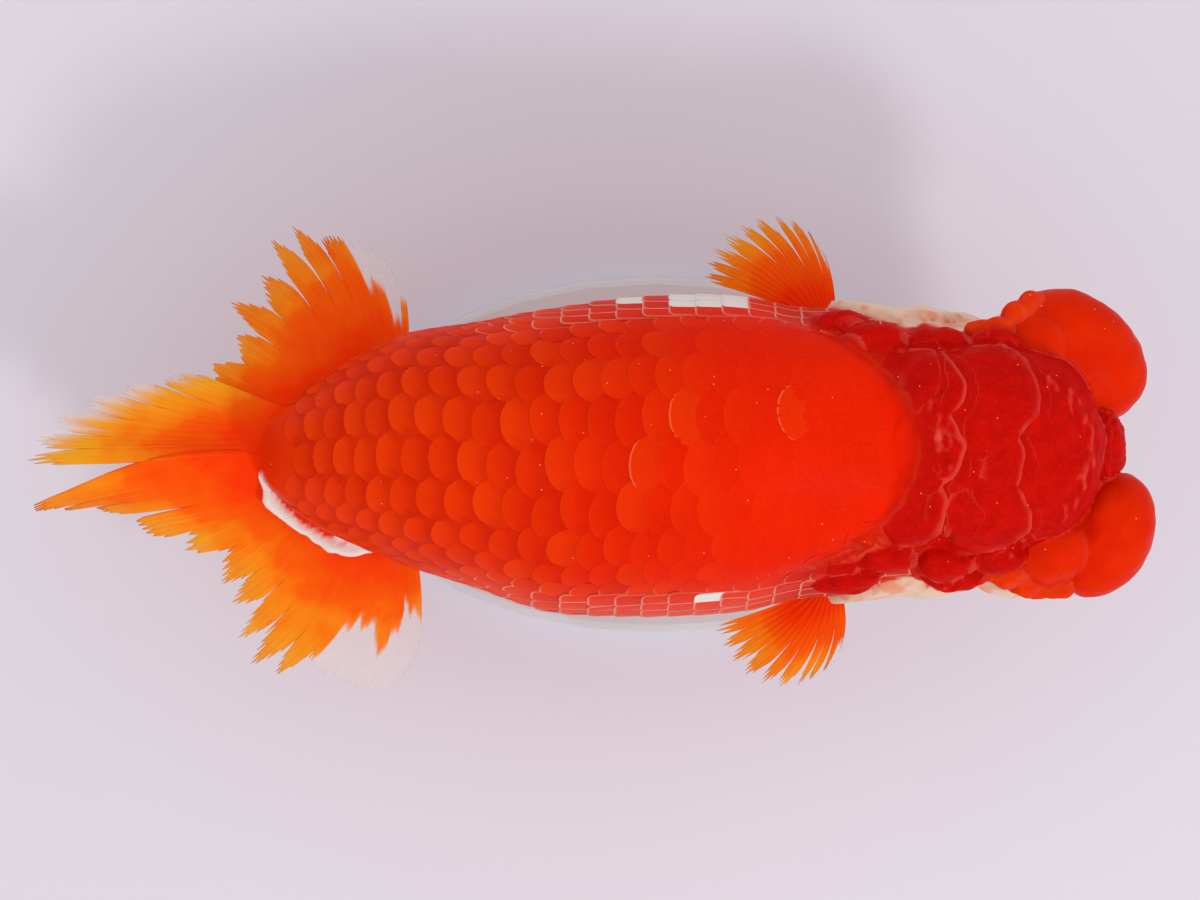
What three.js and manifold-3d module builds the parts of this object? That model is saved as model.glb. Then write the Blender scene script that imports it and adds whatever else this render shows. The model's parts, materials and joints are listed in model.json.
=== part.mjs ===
// A ranchu goldfish, life size, as a still museum model held over a small display stand.
// Millimetres, +Z up. The fish swims towards +X, its left side is +Y, and the origin is the
// centre of the underside of the stand's base.
//
// The trunk, head and tail stalk are lengths of one loft. The growth on the head is a dome
// divided into pillows, with cushions round it that push against each other. Every fin is a fan
// of bent rays.

import * as THREE from 'three';
import { mergeVertices } from 'three/addons/utils/BufferGeometryUtils.js';
import Module from 'manifold-3d';

const wasm = await Module();
wasm.setup();

// ---------------------------------------------------------------- driving dimensions

const GAP = 0.3; // clearance between neighbouring pieces
const SMALLEST_DETAIL = 0.15; // slivers left by the cuts are smoothed away up to this size
const EYE_RADIUS = 4.5;
const FIN_EDGE = 0.6; // thickness of a fin at its free edge
const FIN_ROOT = 2.0; // thickness where the rays leave the flesh
const PECTORAL_ROOT = 1.2;
const ROOT_REACH = 0.2; // share of a ray over which the root's thickness fades
const GILL_PLATE = 1.7; // how far a gill cover stands off the head

const TAIL_START = -64.2; // rear end of the tail stalk
const STALK_FROM = -46.5; // the tail stalk meets the trunk here
const NECK = 38; // the trunk meets the head here
const SNOUT = 72.5; // front of the head under the growth

const BASE_LENGTH = 104;
const BASE_WIDTH = 60;
const BASE_HEIGHT = 8;
const BASE_EDGE = 1.2; // rounding of the base's upper edge
const ROD_RADIUS = 2.4;
const ROD_PLACES = [18, -17]; // x of the front and rear rod
const ROD_REACH = 34; // length before the belly cuts it short

// Cross-sections of the body from tail to snout:
// x, half width, top, height of the widest line, bottom, sideways bend of the midline
const BODY_STATIONS = [
  [-64.2, 2.9, 63.0, 58.0, 53.0, 0.6],
  [-62.6, 5.8, 66.4, 58.0, 49.8, 0.3],
  [-60.0, 8.4, 69.8, 58.0, 47.6, 0.1],
  [-55.0, 12.0, 75.4, 58.4, 45.8, 0.2],
  [-49.0, 15.4, 81.0, 59.4, 44.4, 0.7],
  [-41.0, 18.9, 86.6, 60.6, 41.8, 0.9],
  [-30.0, 21.5, 91.6, 62.0, 38.2, 0.1],
  [-18.0, 24.4, 94.8, 63.0, 34.9, -0.8],
  [-5.0, 25.7, 96.8, 63.0, 33.2, -0.3],
  [8.0, 25.6, 97.2, 63.0, 33.4, 0.1],
  [20.0, 24.3, 96.0, 63.0, 35.6, 0.3],
  [30.0, 23.7, 93.6, 63.0, 38.8, 0.5],
  [40.0, 22.2, 90.4, 63.5, 42.4, 0.5],
  [50.0, 20.0, 87.4, 64.0, 44.6, 0.2],
  [58.0, 17.6, 84.0, 64.0, 46.4, 0.6],
  [65.0, 14.2, 79.4, 63.0, 48.8, 1.0],
  [70.0, 9.8, 73.6, 61.5, 52.0, 1.3],
  [72.5, 5.6, 68.4, 60.5, 55.6, 1.4],
];
const BODY_SQUARENESS = 2.0; // 2 is an ellipse, more is boxier
const BODY_SEGMENTS = 22;

// ---------------------------------------------------------------- small tools

const mirrored = ([x, y, z]) => [x, -y, z];

// Smooth value between the rows of a table whose first column is the place
function between(rows, place) {
  const last = rows.length - 1;
  let k = 0;
  while (k < last - 1 && rows[k + 1][0] < place) k += 1;
  const before = rows[Math.max(k - 1, 0)];
  const start = rows[k];
  const end = rows[k + 1];
  const after = rows[Math.min(k + 2, last)];
  const span = end[0] - start[0];
  const t = THREE.MathUtils.clamp((place - start[0]) / span, 0, 1);
  return start.slice(1).map((value, i) => {
    const column = i + 1;
    const slopeIn = (span * (end[column] - before[column])) / (end[0] - before[0]);
    const slopeOut = (span * (after[column] - start[column])) / (after[0] - start[0]);
    const rise = end[column] - value;
    const bend = 3 * rise - 2 * slopeIn - slopeOut;
    const twist = slopeIn + slopeOut - 2 * rise;
    return value + t * (slopeIn + t * (bend + t * twist));
  });
}

// A closed solid from rings of equal length, with a fan over each end
function ringSolid(rings) {
  const size = rings[0].length;
  const points = rings.flat();
  const faces = [];
  for (let r = 0; r < rings.length - 1; r += 1) {
    for (let s = 0; s < size; s += 1) {
      const a = r * size + s;
      const b = r * size + ((s + 1) % size);
      faces.push(a, b, b + size, a, b + size, a + size);
    }
  }
  const middle = (ring) =>
    ring.reduce((sum, p) => sum.add(p), new THREE.Vector3()).divideScalar(size);
  const first = points.push(middle(rings[0])) - 1;
  const final = points.push(middle(rings[rings.length - 1])) - 1;
  const offset = (rings.length - 1) * size;
  for (let s = 0; s < size; s += 1) {
    const next = (s + 1) % size;
    faces.push(first, next, s, final, offset + s, offset + next);
  }
  const geometry = new THREE.BufferGeometry().setFromPoints(points);
  geometry.setIndex(faces);
  return geometry;
}

// three.js geometry to a manifold solid and back
function solidOf(geometry) {
  const bare = geometry.clone();
  bare.deleteAttribute('normal');
  bare.deleteAttribute('uv');
  const merged = mergeVertices(bare, 1e-4);
  return new wasm.Manifold(
    new wasm.Mesh({
      numProp: 3,
      vertProperties: new Float32Array(merged.attributes.position.array),
      triVerts: new Uint32Array(merged.index.array),
    }),
  );
}

function geometryOf(solid) {
  const pieces = solid.simplify(SMALLEST_DETAIL).decompose();
  const largest = pieces.reduce((a, b) => (a.volume() > b.volume() ? a : b));
  const mesh = largest.getMesh();
  const geometry = new THREE.BufferGeometry();
  const positions = new THREE.BufferAttribute(new Float32Array(mesh.vertProperties), 3);
  geometry.setAttribute('position', positions);
  geometry.setIndex(Array.from(mesh.triVerts));
  geometry.computeVertexNormals();
  return geometry;
}

const cutBy = (solid, cutters) => cutters.reduce((left, cutter) => left.subtract(cutter), solid);

// ---------------------------------------------------------------- body loft

function bodyRing(x, swell) {
  const [halfWidth, top, wide, bottom, sway] = between(BODY_STATIONS, x);
  const ring = [];
  for (let s = 0; s < BODY_SEGMENTS; s += 1) {
    const angle = (2 * Math.PI * s) / BODY_SEGMENTS;
    const across = Math.cos(angle);
    const up = Math.sin(angle);
    const power = 2 / BODY_SQUARENESS;
    const y = (halfWidth + swell) * Math.sign(across) * Math.abs(across) ** power;
    const reach = up > 0 ? top + swell - wide : wide - bottom + swell;
    const z = wide + reach * Math.sign(up) * Math.abs(up) ** power;
    ring.push(new THREE.Vector3(x, sway + y, z));
  }
  return ring;
}

// Places along the body; a crowd above 1 draws them together at the start
function places(from, to, count, crowd = 1) {
  return Array.from({ length: count }, (_, i) => from + (to - from) * (i / (count - 1)) ** crowd);
}

const STALK_PLACES = places(TAIL_START, STALK_FROM, 6, 1.6);
const TRUNK_PLACES = places(STALK_FROM + GAP, NECK - GAP, 12);
const HEAD_PLACES = places(SNOUT, NECK, 6, 1.4).reverse();

const bodyLength = (xs, swell = 0) => ringSolid(xs.map((x) => bodyRing(x, swell)));

// The whole body in one piece, grown outwards by a swell
function swollenBody(swell) {
  const inner = [...STALK_PLACES, ...TRUNK_PLACES, ...HEAD_PLACES];
  return solidOf(bodyLength([TAIL_START - swell, ...inner, SNOUT + swell], swell));
}

// ---------------------------------------------------------------- growth on the head

// Distance of a flat point from the middle in units of a squared oval's half sizes
const squared = (a, b, power) => (Math.abs(a) ** power + Math.abs(b) ** power) ** (1 / power);

// The crown is a low dome; its outline and its profile are both a little squared
const DOME_CENTRE = [47.0, 0.8, 72.0];
const DOME_HALF = [23.4, 18.7, 22.2];
const DOME_PLAN = 2.4;
const DOME_PROFILE = 2.25;
const DOME_EDGE = 0.97; // pillows keep inside this share of the dome's outline

const PILLOW_SQUARENESS = 2.35;
const PILLOW_TILT = 0.075; // rise of a pillow's lid towards its front, per millimetre
const PILLOW_SIDES = 12;
// From the middle of the lid down the wall: share of the outline, depth below the dome
const PILLOW_RINGS = [
  [0.5, 0],
  [0.92, 0.4],
  [1.0, 1.8],
  [0.97, 3.6],
  [0.88, 9.0],
];

function pillowGeometry({ centre, half, turn, height }, swell = 0) {
  const angle = THREE.MathUtils.degToRad(turn);
  const edge = DOME_EDGE + swell / DOME_HALF[1];
  const rings = PILLOW_RINGS.map(([share, depth], r) =>
    Array.from({ length: PILLOW_SIDES }, (_, s) => {
      const around = (2 * Math.PI * s) / PILLOW_SIDES;
      const [c, d] = [Math.cos(around), Math.sin(around)];
      const reach = share / squared(c, d, PILLOW_SQUARENESS);
      const [u, v] = [c * reach * (half[0] + swell), d * reach * (half[1] + swell)];
      const dx = centre[0] + u * Math.cos(angle) - v * Math.sin(angle) - DOME_CENTRE[0];
      const dy = centre[1] + u * Math.sin(angle) + v * Math.cos(angle) - DOME_CENTRE[1];
      const out = squared(dx / DOME_HALF[0], dy / DOME_HALF[1], DOME_PLAN);
      const hold = Math.min(1, edge / out);
      const profile = (1 - Math.min(out, edge) ** DOME_PROFILE) ** (1 / DOME_PROFILE);
      const x = DOME_CENTRE[0] + dx * hold;
      const lid = DOME_CENTRE[2] + DOME_HALF[2] * profile + height + PILLOW_TILT * (x - centre[0]);
      const grown = r === PILLOW_RINGS.length - 1 ? -swell : swell;
      return new THREE.Vector3(x, DOME_CENTRE[1] + dy * hold, lid - depth + grown);
    }),
  );
  return ringSolid(rings);
}

// How square a cushion is, seen from above and from the side; 2 is round
const KINDS = {
  temple: [2.2, 2.3],
  brow: [2.2, 2.3],
  puff: [2.0, 2.3],
  snout: [2.3, 2.6],
  cheek: [2.1, 2.3],
  lip: [2.2, 2.2],
};
const SMALL_CUSHION = 4; // a cushion thinner than this to each side takes larger facets
const [FINE_FACETS, LARGE_FACETS] = [2, 1]; // how often an edge of the icosahedron is cut
const FACET_LIFT = 1.015; // lifts the facets until the true curve runs through their middles

// A cushion: a sphere drawn out to three half sizes, with its outlines squared off
function cushionGeometry({ centre, half, kind, turn = 0 }, swell = 0) {
  const [plan, side] = KINDS[kind];
  const detail = Math.min(...half) < SMALL_CUSHION ? LARGE_FACETS : FINE_FACETS;
  const geometry = mergeVertices(stripped(new THREE.IcosahedronGeometry(1, detail)), 1e-4);
  const position = geometry.attributes.position;
  for (let i = 0; i < position.count; i += 1) {
    const p = new THREE.Vector3().fromBufferAttribute(position, i);
    p.multiplyScalar(FACET_LIFT / squared(squared(p.x, p.y, plan), p.z, side));
    position.setXYZ(i, ...half.map((size, axis) => p.getComponent(axis) * (size + swell)));
  }
  return geometry.rotateZ(THREE.MathUtils.degToRad(turn)).translate(...centre);
}

function stripped(geometry) {
  geometry.deleteAttribute('normal');
  geometry.deleteAttribute('uv');
  return geometry;
}

const pillow = (node, centre, half, turn, height) => ({ node, centre, half, turn, height });
const cushion = (node, kind, centre, half, turn) => ({ node, kind, centre, half, turn });

// Pillows and cushions with the same node melt into one solid; the first push the later aside.
// Pillows: centre and half sizes from above, turn in degrees, height over the dome.
// Cushions: kind, centre, half sizes, turn.
const GROWTH = [
  pillow('nape_left', [37.8, 11.4], [5.4, 5.8], -8, 0.35),
  pillow('nape_left', [41.9, 10.5], [4.9, 5.3], -10, 0.42),
  pillow('nape_right', [38.6, -8.6], [5.8, 5.7], 8, 0.4),
  pillow('crown_left', [49.6, 9.1], [8.8, 8.0], -6, 0.35),
  pillow('crown_right', [50.2, -9.4], [6.7, 6.1], 6, 0.25),
  pillow('nape_middle', [40.4, 1.0], [6.0, 6.6], 0, 0.2),
  pillow('nape_middle', [44.6, -8.0], [3.0, 4.8], -8, -0.05),
  pillow('crown_middle', [49.4, -1.4], [7.2, 6.2], 0, -0.1),
  pillow('crown_front', [59.2, 1.4], [10.0, 14.6], -3, 0.0),
  cushion('puff_left', 'puff', [65.9, 15.8, 66.5], [12.2, 9.3, 10.2], -40),
  cushion('puff_right', 'puff', [70.4, -12.8, 66.0], [10.5, 7.6, 10.2], 62),
  cushion('puff_left_rear', 'puff', [60.6, 16.6, 70.4], [6.2, 6.0, 6.6]),
  cushion('puff_right_rear', 'puff', [61.3, -15.0, 73.4], [5.9, 5.4, 6.2]),
  cushion('snout', 'snout', [69.2, 1.5, 69.8], [4.2, 5.8, 8.6]),
  cushion('temple_left', 'temple', [33.4, 17.6, 79.2], [5.8, 3.2, 4.8]),
  cushion('temple_left', 'temple', [43.0, 16.9, 78.0], [6.2, 3.4, 5.4]),
  cushion('temple_right', 'temple', [35.0, -15.6, 79.4], [5.6, 2.9, 4.8]),
  cushion('temple_right', 'temple', [44.6, -16.2, 78.0], [5.0, 3.8, 5.6]),
  cushion('temple_right', 'temple', [46.2, -19.2, 74.6], [5.2, 2.5, 3.2]),
  cushion('brow_left', 'temple', [52.0, 16.4, 77.6], [4.6, 3.5, 5.0]),
  cushion('brow_left', 'brow', [52.0, 19.6, 73.6], [4.4, 2.4, 2.6]),
  cushion('brow_left', 'brow', [55.8, 21.6, 71.8], [2.5, 2.4, 2.4]),
  cushion('brow_left', 'brow', [58.8, 22.3, 71.0], [2.8, 3.3, 2.6]),
  cushion('brow_right', 'temple', [52.6, -15.4, 77.6], [4.6, 3.4, 5.0]),
  cushion('brow_right', 'brow', [54.2, -18.0, 73.6], [4.8, 2.6, 2.8]),
  cushion('brow_right', 'brow', [57.6, -20.2, 71.4], [2.8, 2.3, 2.5]),
  cushion('brow_right', 'brow', [61.4, -20.6, 70.4], [3.8, 2.6, 2.8]),
  cushion('shoulder_left', 'temple', [28.0, 20.2, 75.6], [5.6, 2.5, 4.8]),
  cushion('shoulder_right', 'temple', [28.8, -19.4, 75.6], [5.6, 2.5, 4.8]),
  cushion('cheek_left', 'cheek', [57.6, 15.2, 55.8], [8.6, 7.6, 6.8]),
  cushion('cheek_right', 'cheek', [57.0, -15.4, 55.6], [9.0, 7.4, 6.8]),
  cushion('jowl_left', 'cheek', [47.4, 15.6, 59.8], [7.2, 7.2, 10.2]),
  cushion('jowl_right', 'cheek', [47.6, -15.2, 60.0], [6.8, 6.4, 10.2]),
  cushion('upper_lip', 'lip', [70.6, 1.5, 60.8], [3.2, 5.0, 2.4]),
  cushion('lower_jaw', 'lip', [68.4, 1.5, 55.2], [4.6, 5.4, 3.6]),
];

const EYES = [
  ['eye_left', [54.2, 17.4, 65.8]],
  ['eye_right', [54.6, -17.2, 65.6]],
];

// Half sizes and place of a gill cover's outline
const GILL_CENTRE = [38.0, 21.0, 58.5];
const GILL_HALF = [11.8, 12.0, 15.5];

// ---------------------------------------------------------------- fins

// A fin's rays run from root over middle to tip; they are listed across the fan
function rayPoint(rays, across, along) {
  const rows = rays.map((ray, i) => [i, ...ray.flat()]);
  const v = between(rows, across);
  const bend = (k) =>
    (1 - along) ** 2 * v[k] + 2 * along * (1 - along) * v[k + 3] + along ** 2 * v[k + 6];
  return new THREE.Vector3(bend(0), bend(1), bend(2));
}

const FIN_COLUMNS = 2; // columns from one listed ray to the next
const LONG_ROWS = 3; // rows along a ray of the tail
const SHORT_ROWS = 3; // rows along a ray of any other fin
const ROW_CROWD = 0.85; // below 1, rows crowd towards the free edge

const EDGE_SWELL = 0.02; // longer rays for a swollen fin, per millimetre
const STEP = 0.02; // step used to feel the slope of a fin's surface

// A thin fan-shaped plate with a notch in its free edge between every two listed rays
function finGeometry({ rays, root, notch, rows }, swell = 0) {
  const columns = (rays.length - 1) * FIN_COLUMNS;
  const top = [];
  const bottom = [];
  for (let c = 0; c <= columns; c += 1) {
    const across = c / FIN_COLUMNS;
    const fromRay = Math.abs(across - Math.round(across)) * 2;
    const length = 1 - notch * fromRay + swell * EDGE_SWELL;
    for (let r = 0; r <= rows; r += 1) {
      const along = length * (r / rows) ** ROW_CROWD;
      const side = Math.min(Math.max(across, STEP), rays.length - 1 - STEP);
      const acrossStep = rayPoint(rays, side + STEP, along).sub(rayPoint(rays, side - STEP, along));
      const alongStep = rayPoint(rays, across, along + STEP).sub(rayPoint(rays, across, along));
      const normal = acrossStep.cross(alongStep).normalize();
      const taper = Math.exp(-along / ROOT_REACH);
      const thickness = FIN_EDGE + (root - FIN_EDGE) * taper + 2 * swell;
      const centre = rayPoint(rays, across, along);
      top.push(centre.clone().addScaledVector(normal, thickness / 2));
      bottom.push(centre.clone().addScaledVector(normal, -thickness / 2));
    }
  }
  return plateBetween(top, bottom, columns, rows);
}

// Closes two grids of points into one plate
function plateBetween(top, bottom, columns, rows) {
  const points = [...top, ...bottom];
  const below = top.length;
  const at = (c, r) => c * (rows + 1) + r;
  const faces = [];
  const quad = (a, b, c, d) => faces.push(a, b, c, a, c, d);
  for (let c = 0; c < columns; c += 1) {
    for (let r = 0; r < rows; r += 1) {
      const [p, q, s, t] = [at(c, r), at(c + 1, r), at(c + 1, r + 1), at(c, r + 1)];
      quad(p, q, s, t);
      quad(below + p, below + t, below + s, below + q);
    }
    quad(at(c, 0), below + at(c, 0), below + at(c + 1, 0), at(c + 1, 0));
    quad(at(c, rows), at(c + 1, rows), below + at(c + 1, rows), below + at(c, rows));
  }
  for (let r = 0; r < rows; r += 1) {
    quad(at(0, r), at(0, r + 1), below + at(0, r + 1), below + at(0, r));
    const [p, q] = [at(columns, r), at(columns, r + 1)];
    quad(p, below + p, below + q, q);
  }
  const geometry = new THREE.BufferGeometry().setFromPoints(points);
  geometry.setIndex(faces);
  return geometry;
}

// Turns a closed solid the right way out
function facingOut(geometry) {
  const solid = solidOf(geometry);
  if (solid.volume() > 0) return solid;
  const index = Array.from(geometry.index.array);
  for (let i = 0; i < index.length; i += 3) [index[i], index[i + 1]] = [index[i + 1], index[i]];
  geometry.setIndex(index);
  return solidOf(geometry);
}

// Rays of the tail, from the leading edge at the side to the inner edge at the midline
const TAIL_LOWER_LEFT = [
  [[-42.6, 8.0, 44.6], [-39.4, 17.5, 43.0], [-41.6, 27.4, 39.6]],
  [[-44.2, 8.2, 45.2], [-40.4, 21.0, 43.4], [-44.6, 32.4, 39.4]],
  [[-45.8, 8.2, 45.8], [-43.2, 23.0, 44.4], [-50.6, 36.0, 40.0]],
  [[-47.4, 8.2, 46.5], [-45.0, 25.5, 46.0], [-57.8, 39.2, 41.2]],
  [[-49.0, 8.1, 47.2], [-47.6, 25.5, 47.2], [-60.4, 36.8, 42.4]],
  [[-50.6, 7.9, 48.0], [-50.4, 24.0, 48.4], [-63.6, 34.8, 43.4]],
  [[-52.2, 7.6, 48.8], [-53.4, 21.0, 49.6], [-64.8, 28.8, 45.2]],
  [[-53.8, 7.2, 49.6], [-56.4, 18.4, 50.8], [-69.6, 24.6, 46.8]],
  [[-55.2, 6.8, 50.4], [-59.2, 15.4, 51.8], [-68.6, 19.0, 48.4]],
  [[-56.6, 6.4, 51.2], [-65.8, 9.4, 52.6], [-73.8, 13.2, 51.2]],
];
const TAIL_UPPER_LEFT = [
  [[-57.2, 6.2, 52.2], [-65.2, 9.6, 54.0], [-75.0, 13.4, 53.0]],
  [[-59.0, 4.6, 53.6], [-72.0, 6.6, 56.6], [-84.0, 11.6, 56.4]],
  [[-60.4, 3.6, 55.0], [-78.0, 4.0, 59.0], [-92.6, 9.0, 59.4]],
  [[-61.6, 2.4, 56.4], [-82.0, 1.6, 61.2], [-98.6, 3.4, 62.6]],
  [[-62.6, 0.6, 57.8], [-79.0, 1.3, 62.8], [-101.0, -2.4, 65.4]],
];
const TAIL_LOWER_RIGHT = [
  [[-42.4, -8.0, 44.6], [-36.8, -18.0, 43.0], [-39.4, -34.6, 37.0]],
  [[-44.0, -8.2, 45.2], [-39.2, -22.0, 43.4], [-43.6, -38.6, 37.4]],
  [[-45.6, -8.2, 45.8], [-42.6, -24.0, 44.4], [-50.0, -39.2, 38.4]],
  [[-47.2, -8.2, 46.5], [-45.2, -25.0, 45.6], [-57.0, -38.8, 39.6]],
  [[-48.8, -8.1, 47.1], [-48.0, -25.5, 46.6], [-62.6, -35.9, 41.0]],
  [[-50.4, -7.9, 47.9], [-51.4, -22.5, 47.8], [-66.8, -34.0, 42.4]],
  [[-52.0, -7.6, 48.7], [-54.6, -19.5, 49.2], [-68.6, -29.2, 44.2]],
  [[-53.6, -7.2, 49.5], [-57.6, -16.4, 50.4], [-69.4, -22.9, 46.2]],
  [[-55.2, -6.7, 50.3], [-60.6, -13.4, 51.6], [-71.6, -20.2, 48.0]],
  [[-56.8, -6.3, 51.2], [-66.8, -10.0, 52.6], [-79.0, -13.4, 50.6]],
];
const TAIL_UPPER_RIGHT = [
  [[-57.4, -6.1, 52.2], [-66.8, -10.2, 54.0], [-80.8, -13.4, 53.2]],
  [[-59.4, -4.6, 53.8], [-73.0, -7.0, 56.8], [-88.6, -9.6, 57.0]],
  [[-61.0, -3.2, 55.6], [-78.0, -4.6, 59.8], [-95.8, -8.8, 61.2]],
  [[-62.6, -0.6, 57.8], [-79.0, 0.4, 62.8], [-101.6, -8.4, 65.4]],
];
const PECTORAL_LEFT = [
  [[28.4, 21.0, 48.6], [29.0, 28.6, 47.4], [26.0, 34.4, 45.6]],
  [[27.8, 21.2, 48.0], [26.8, 31.6, 47.0], [22.6, 37.6, 44.6]],
  [[27.2, 21.4, 47.4], [24.0, 32.6, 46.6], [17.2, 39.0, 43.8]],
  [[26.6, 21.6, 46.8], [20.8, 31.8, 46.0], [12.2, 37.0, 43.4]],
  [[26.0, 21.6, 46.2], [17.6, 29.6, 45.2], [8.4, 33.2, 43.4]],
  [[25.4, 21.4, 45.6], [15.8, 26.4, 44.4], [6.8, 28.2, 43.6]],
];
const PECTORAL_RIGHT = [
  [[29.0, -21.0, 48.6], [31.6, -27.4, 47.4], [28.6, -33.0, 45.6]],
  [[28.4, -21.2, 48.0], [29.2, -30.4, 47.0], [25.2, -36.2, 44.6]],
  [[27.8, -21.4, 47.4], [26.2, -31.8, 46.6], [21.2, -37.8, 43.8]],
  [[27.2, -21.6, 46.8], [22.6, -31.0, 46.0], [15.8, -36.6, 43.4]],
  [[26.6, -21.6, 46.2], [19.2, -28.6, 45.2], [11.4, -33.2, 43.4]],
  [[26.0, -21.4, 45.6], [17.4, -25.4, 44.4], [8.4, -27.8, 43.6]],
];
const PELVIC_LEFT = [
  [[4.0, 7.6, 36.4], [-3.0, 15.6, 30.6], [-11.0, 21.0, 27.6]],
  [[2.6, 7.8, 36.2], [-6.0, 15.0, 30.4], [-15.6, 19.6, 26.8]],
  [[1.2, 8.0, 36.0], [-8.0, 13.6, 30.4], [-18.6, 16.8, 27.2]],
  [[-0.2, 8.0, 36.0], [-8.6, 12.0, 31.0], [-18.8, 13.4, 28.6]],
  [[-1.6, 8.0, 36.2], [-8.4, 10.6, 32.0], [-15.8, 10.8, 30.6]],
];
const ANAL_LEFT = [
  [[-34.6, 2.6, 42.0], [-39.4, 5.0, 35.4], [-45.4, 6.8, 30.8]],
  [[-36.4, 2.6, 42.6], [-42.6, 5.2, 36.0], [-49.6, 7.0, 31.8]],
  [[-38.2, 2.6, 43.2], [-44.8, 4.8, 37.6], [-52.0, 6.2, 34.6]],
  [[-40.0, 2.6, 43.8], [-45.4, 4.2, 39.8], [-50.8, 4.8, 38.2]],
];

const mirroredFin = (rays) => rays.map((ray) => ray.map(mirrored));

// The notch is the depth of the gaps in the free edge, as a share of the ray
const tailFin = (name, rays, notch) => ({ name, rays, notch, root: FIN_ROOT, rows: LONG_ROWS });
const smallFin = (name, rays) => ({ name, rays, notch: 0.08, root: PECTORAL_ROOT, rows: SHORT_ROWS });

const FINS = [
  tailFin('tail_lower_left', TAIL_LOWER_LEFT, 0.12),
  tailFin('tail_upper_left', TAIL_UPPER_LEFT, 0.05),
  tailFin('tail_lower_right', TAIL_LOWER_RIGHT, 0.08),
  tailFin('tail_upper_right', TAIL_UPPER_RIGHT, 0.05),
  smallFin('pectoral_fin_left', PECTORAL_LEFT),
  smallFin('pectoral_fin_right', PECTORAL_RIGHT),
  smallFin('pelvic_fin_left', PELVIC_LEFT),
  smallFin('pelvic_fin_right', mirroredFin(PELVIC_LEFT)),
  smallFin('anal_fin_left', ANAL_LEFT),
  smallFin('anal_fin_right', mirroredFin(ANAL_LEFT)),
];

// ---------------------------------------------------------------- materials

const materials = {
  scaled: new THREE.MeshStandardMaterial({ color: 0xe22c08, roughness: 0.4, metalness: 0 }),
  crown: new THREE.MeshStandardMaterial({ color: 0xc00d06, roughness: 0.55, metalness: 0 }),
  puff: new THREE.MeshStandardMaterial({ color: 0xde2a05, roughness: 0.4, metalness: 0 }),
  cheek: new THREE.MeshStandardMaterial({ color: 0xdc9f80, roughness: 0.45, metalness: 0 }),
  fin: new THREE.MeshStandardMaterial({ color: 0xe96a10, roughness: 0.4, metalness: 0 }),
  eye: new THREE.MeshStandardMaterial({ color: 0x1a1408, roughness: 0.1, metalness: 0 }),
  stand: new THREE.MeshStandardMaterial({ color: 0xe6e4ea, roughness: 0.5, metalness: 0 }),
  rod: new THREE.MeshStandardMaterial({ color: 0xb9bcc2, roughness: 0.25, metalness: 1 }),
};

const fish = new THREE.Group();

function addMesh(name, geometry, material) {
  const mesh = new THREE.Mesh(geometry, material);
  mesh.name = name;
  fish.add(mesh);
}

// ---------------------------------------------------------------- flesh

const wholeBody = swollenBody(GAP);
const eyeSolids = EYES.map(([name, centre]) => {
  const [ball, socket] = [EYE_RADIUS, EYE_RADIUS + GAP].map((radius) =>
    solidOf(new THREE.SphereGeometry(radius, 12, 7).translate(...centre)),
  );
  return { name, ball, socket };
});
const sockets = eyeSolids.map((eye) => eye.socket);
for (const eye of eyeSolids) addMesh(eye.name, geometryOf(eye.ball), materials.eye);

addMesh('trunk', bodyLength(TRUNK_PLACES), materials.scaled);
addMesh('tail_stalk', bodyLength(STALK_PLACES), materials.scaled);
const headLoft = solidOf(bodyLength(HEAD_PLACES));
addMesh('head', geometryOf(cutBy(headLoft, sockets)), materials.crown);

// The colour of the growth follows its kind; pillows have none and belong to the crown
const GROWTH_MATERIALS = { puff: 'puff', cheek: 'cheek', lip: 'cheek' };

const growthSolid = (shape, swell) =>
  facingOut(shape.kind ? cushionGeometry(shape, swell) : pillowGeometry(shape, swell));

// Each piece of growth gives way to the body, the eyes and the pieces before it
const taken = [wholeBody, ...sockets];
for (const node of new Set(GROWTH.map((shape) => shape.node))) {
  const shapes = GROWTH.filter((shape) => shape.node === node);
  const melted = shapes.map((shape) => growthSolid(shape, 0)).reduce((a, b) => a.add(b));
  const material = GROWTH_MATERIALS[shapes[0].kind] ?? 'crown';
  addMesh(node, geometryOf(cutBy(melted, taken)), materials[material]);
  taken.push(...shapes.map((shape) => growthSolid(shape, GAP)));
}

// A gill cover is a curved plate standing a little off the side of the head
const gillBody = swollenBody(GILL_PLATE);
const gillRoom = swollenBody(GILL_PLATE + GAP);
const finCutters = [wholeBody];
for (const [node, side] of [['gill_cover_left', 1], ['gill_cover_right', -1]]) {
  const centre = [GILL_CENTRE[0], side * GILL_CENTRE[1], GILL_CENTRE[2]];
  const shape = { centre, half: GILL_HALF, kind: 'cheek' };
  const plate = cutBy(gillBody.intersect(growthSolid(shape, 0)), taken);
  addMesh(node, geometryOf(plate), materials.cheek);
  finCutters.push(gillRoom.intersect(growthSolid(shape, GAP)));
}

// ---------------------------------------------------------------- fins on the body

for (const shape of FINS) {
  const fin = facingOut(finGeometry(shape));
  addMesh(shape.name, geometryOf(cutBy(fin, finCutters)), materials.fin);
  finCutters.push(facingOut(finGeometry(shape, GAP)));
}

// ---------------------------------------------------------------- display stand

// An oval plate with a rounded upper edge, flat below
const STAND_SEGMENTS = 28;

function ovalRing(z, inset) {
  return Array.from({ length: STAND_SEGMENTS }, (_, s) => {
    const angle = (2 * Math.PI * s) / STAND_SEGMENTS;
    const x = (BASE_LENGTH / 2 - inset) * Math.cos(angle);
    return new THREE.Vector3(x, (BASE_WIDTH / 2 - inset) * Math.sin(angle), z);
  });
}

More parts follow.
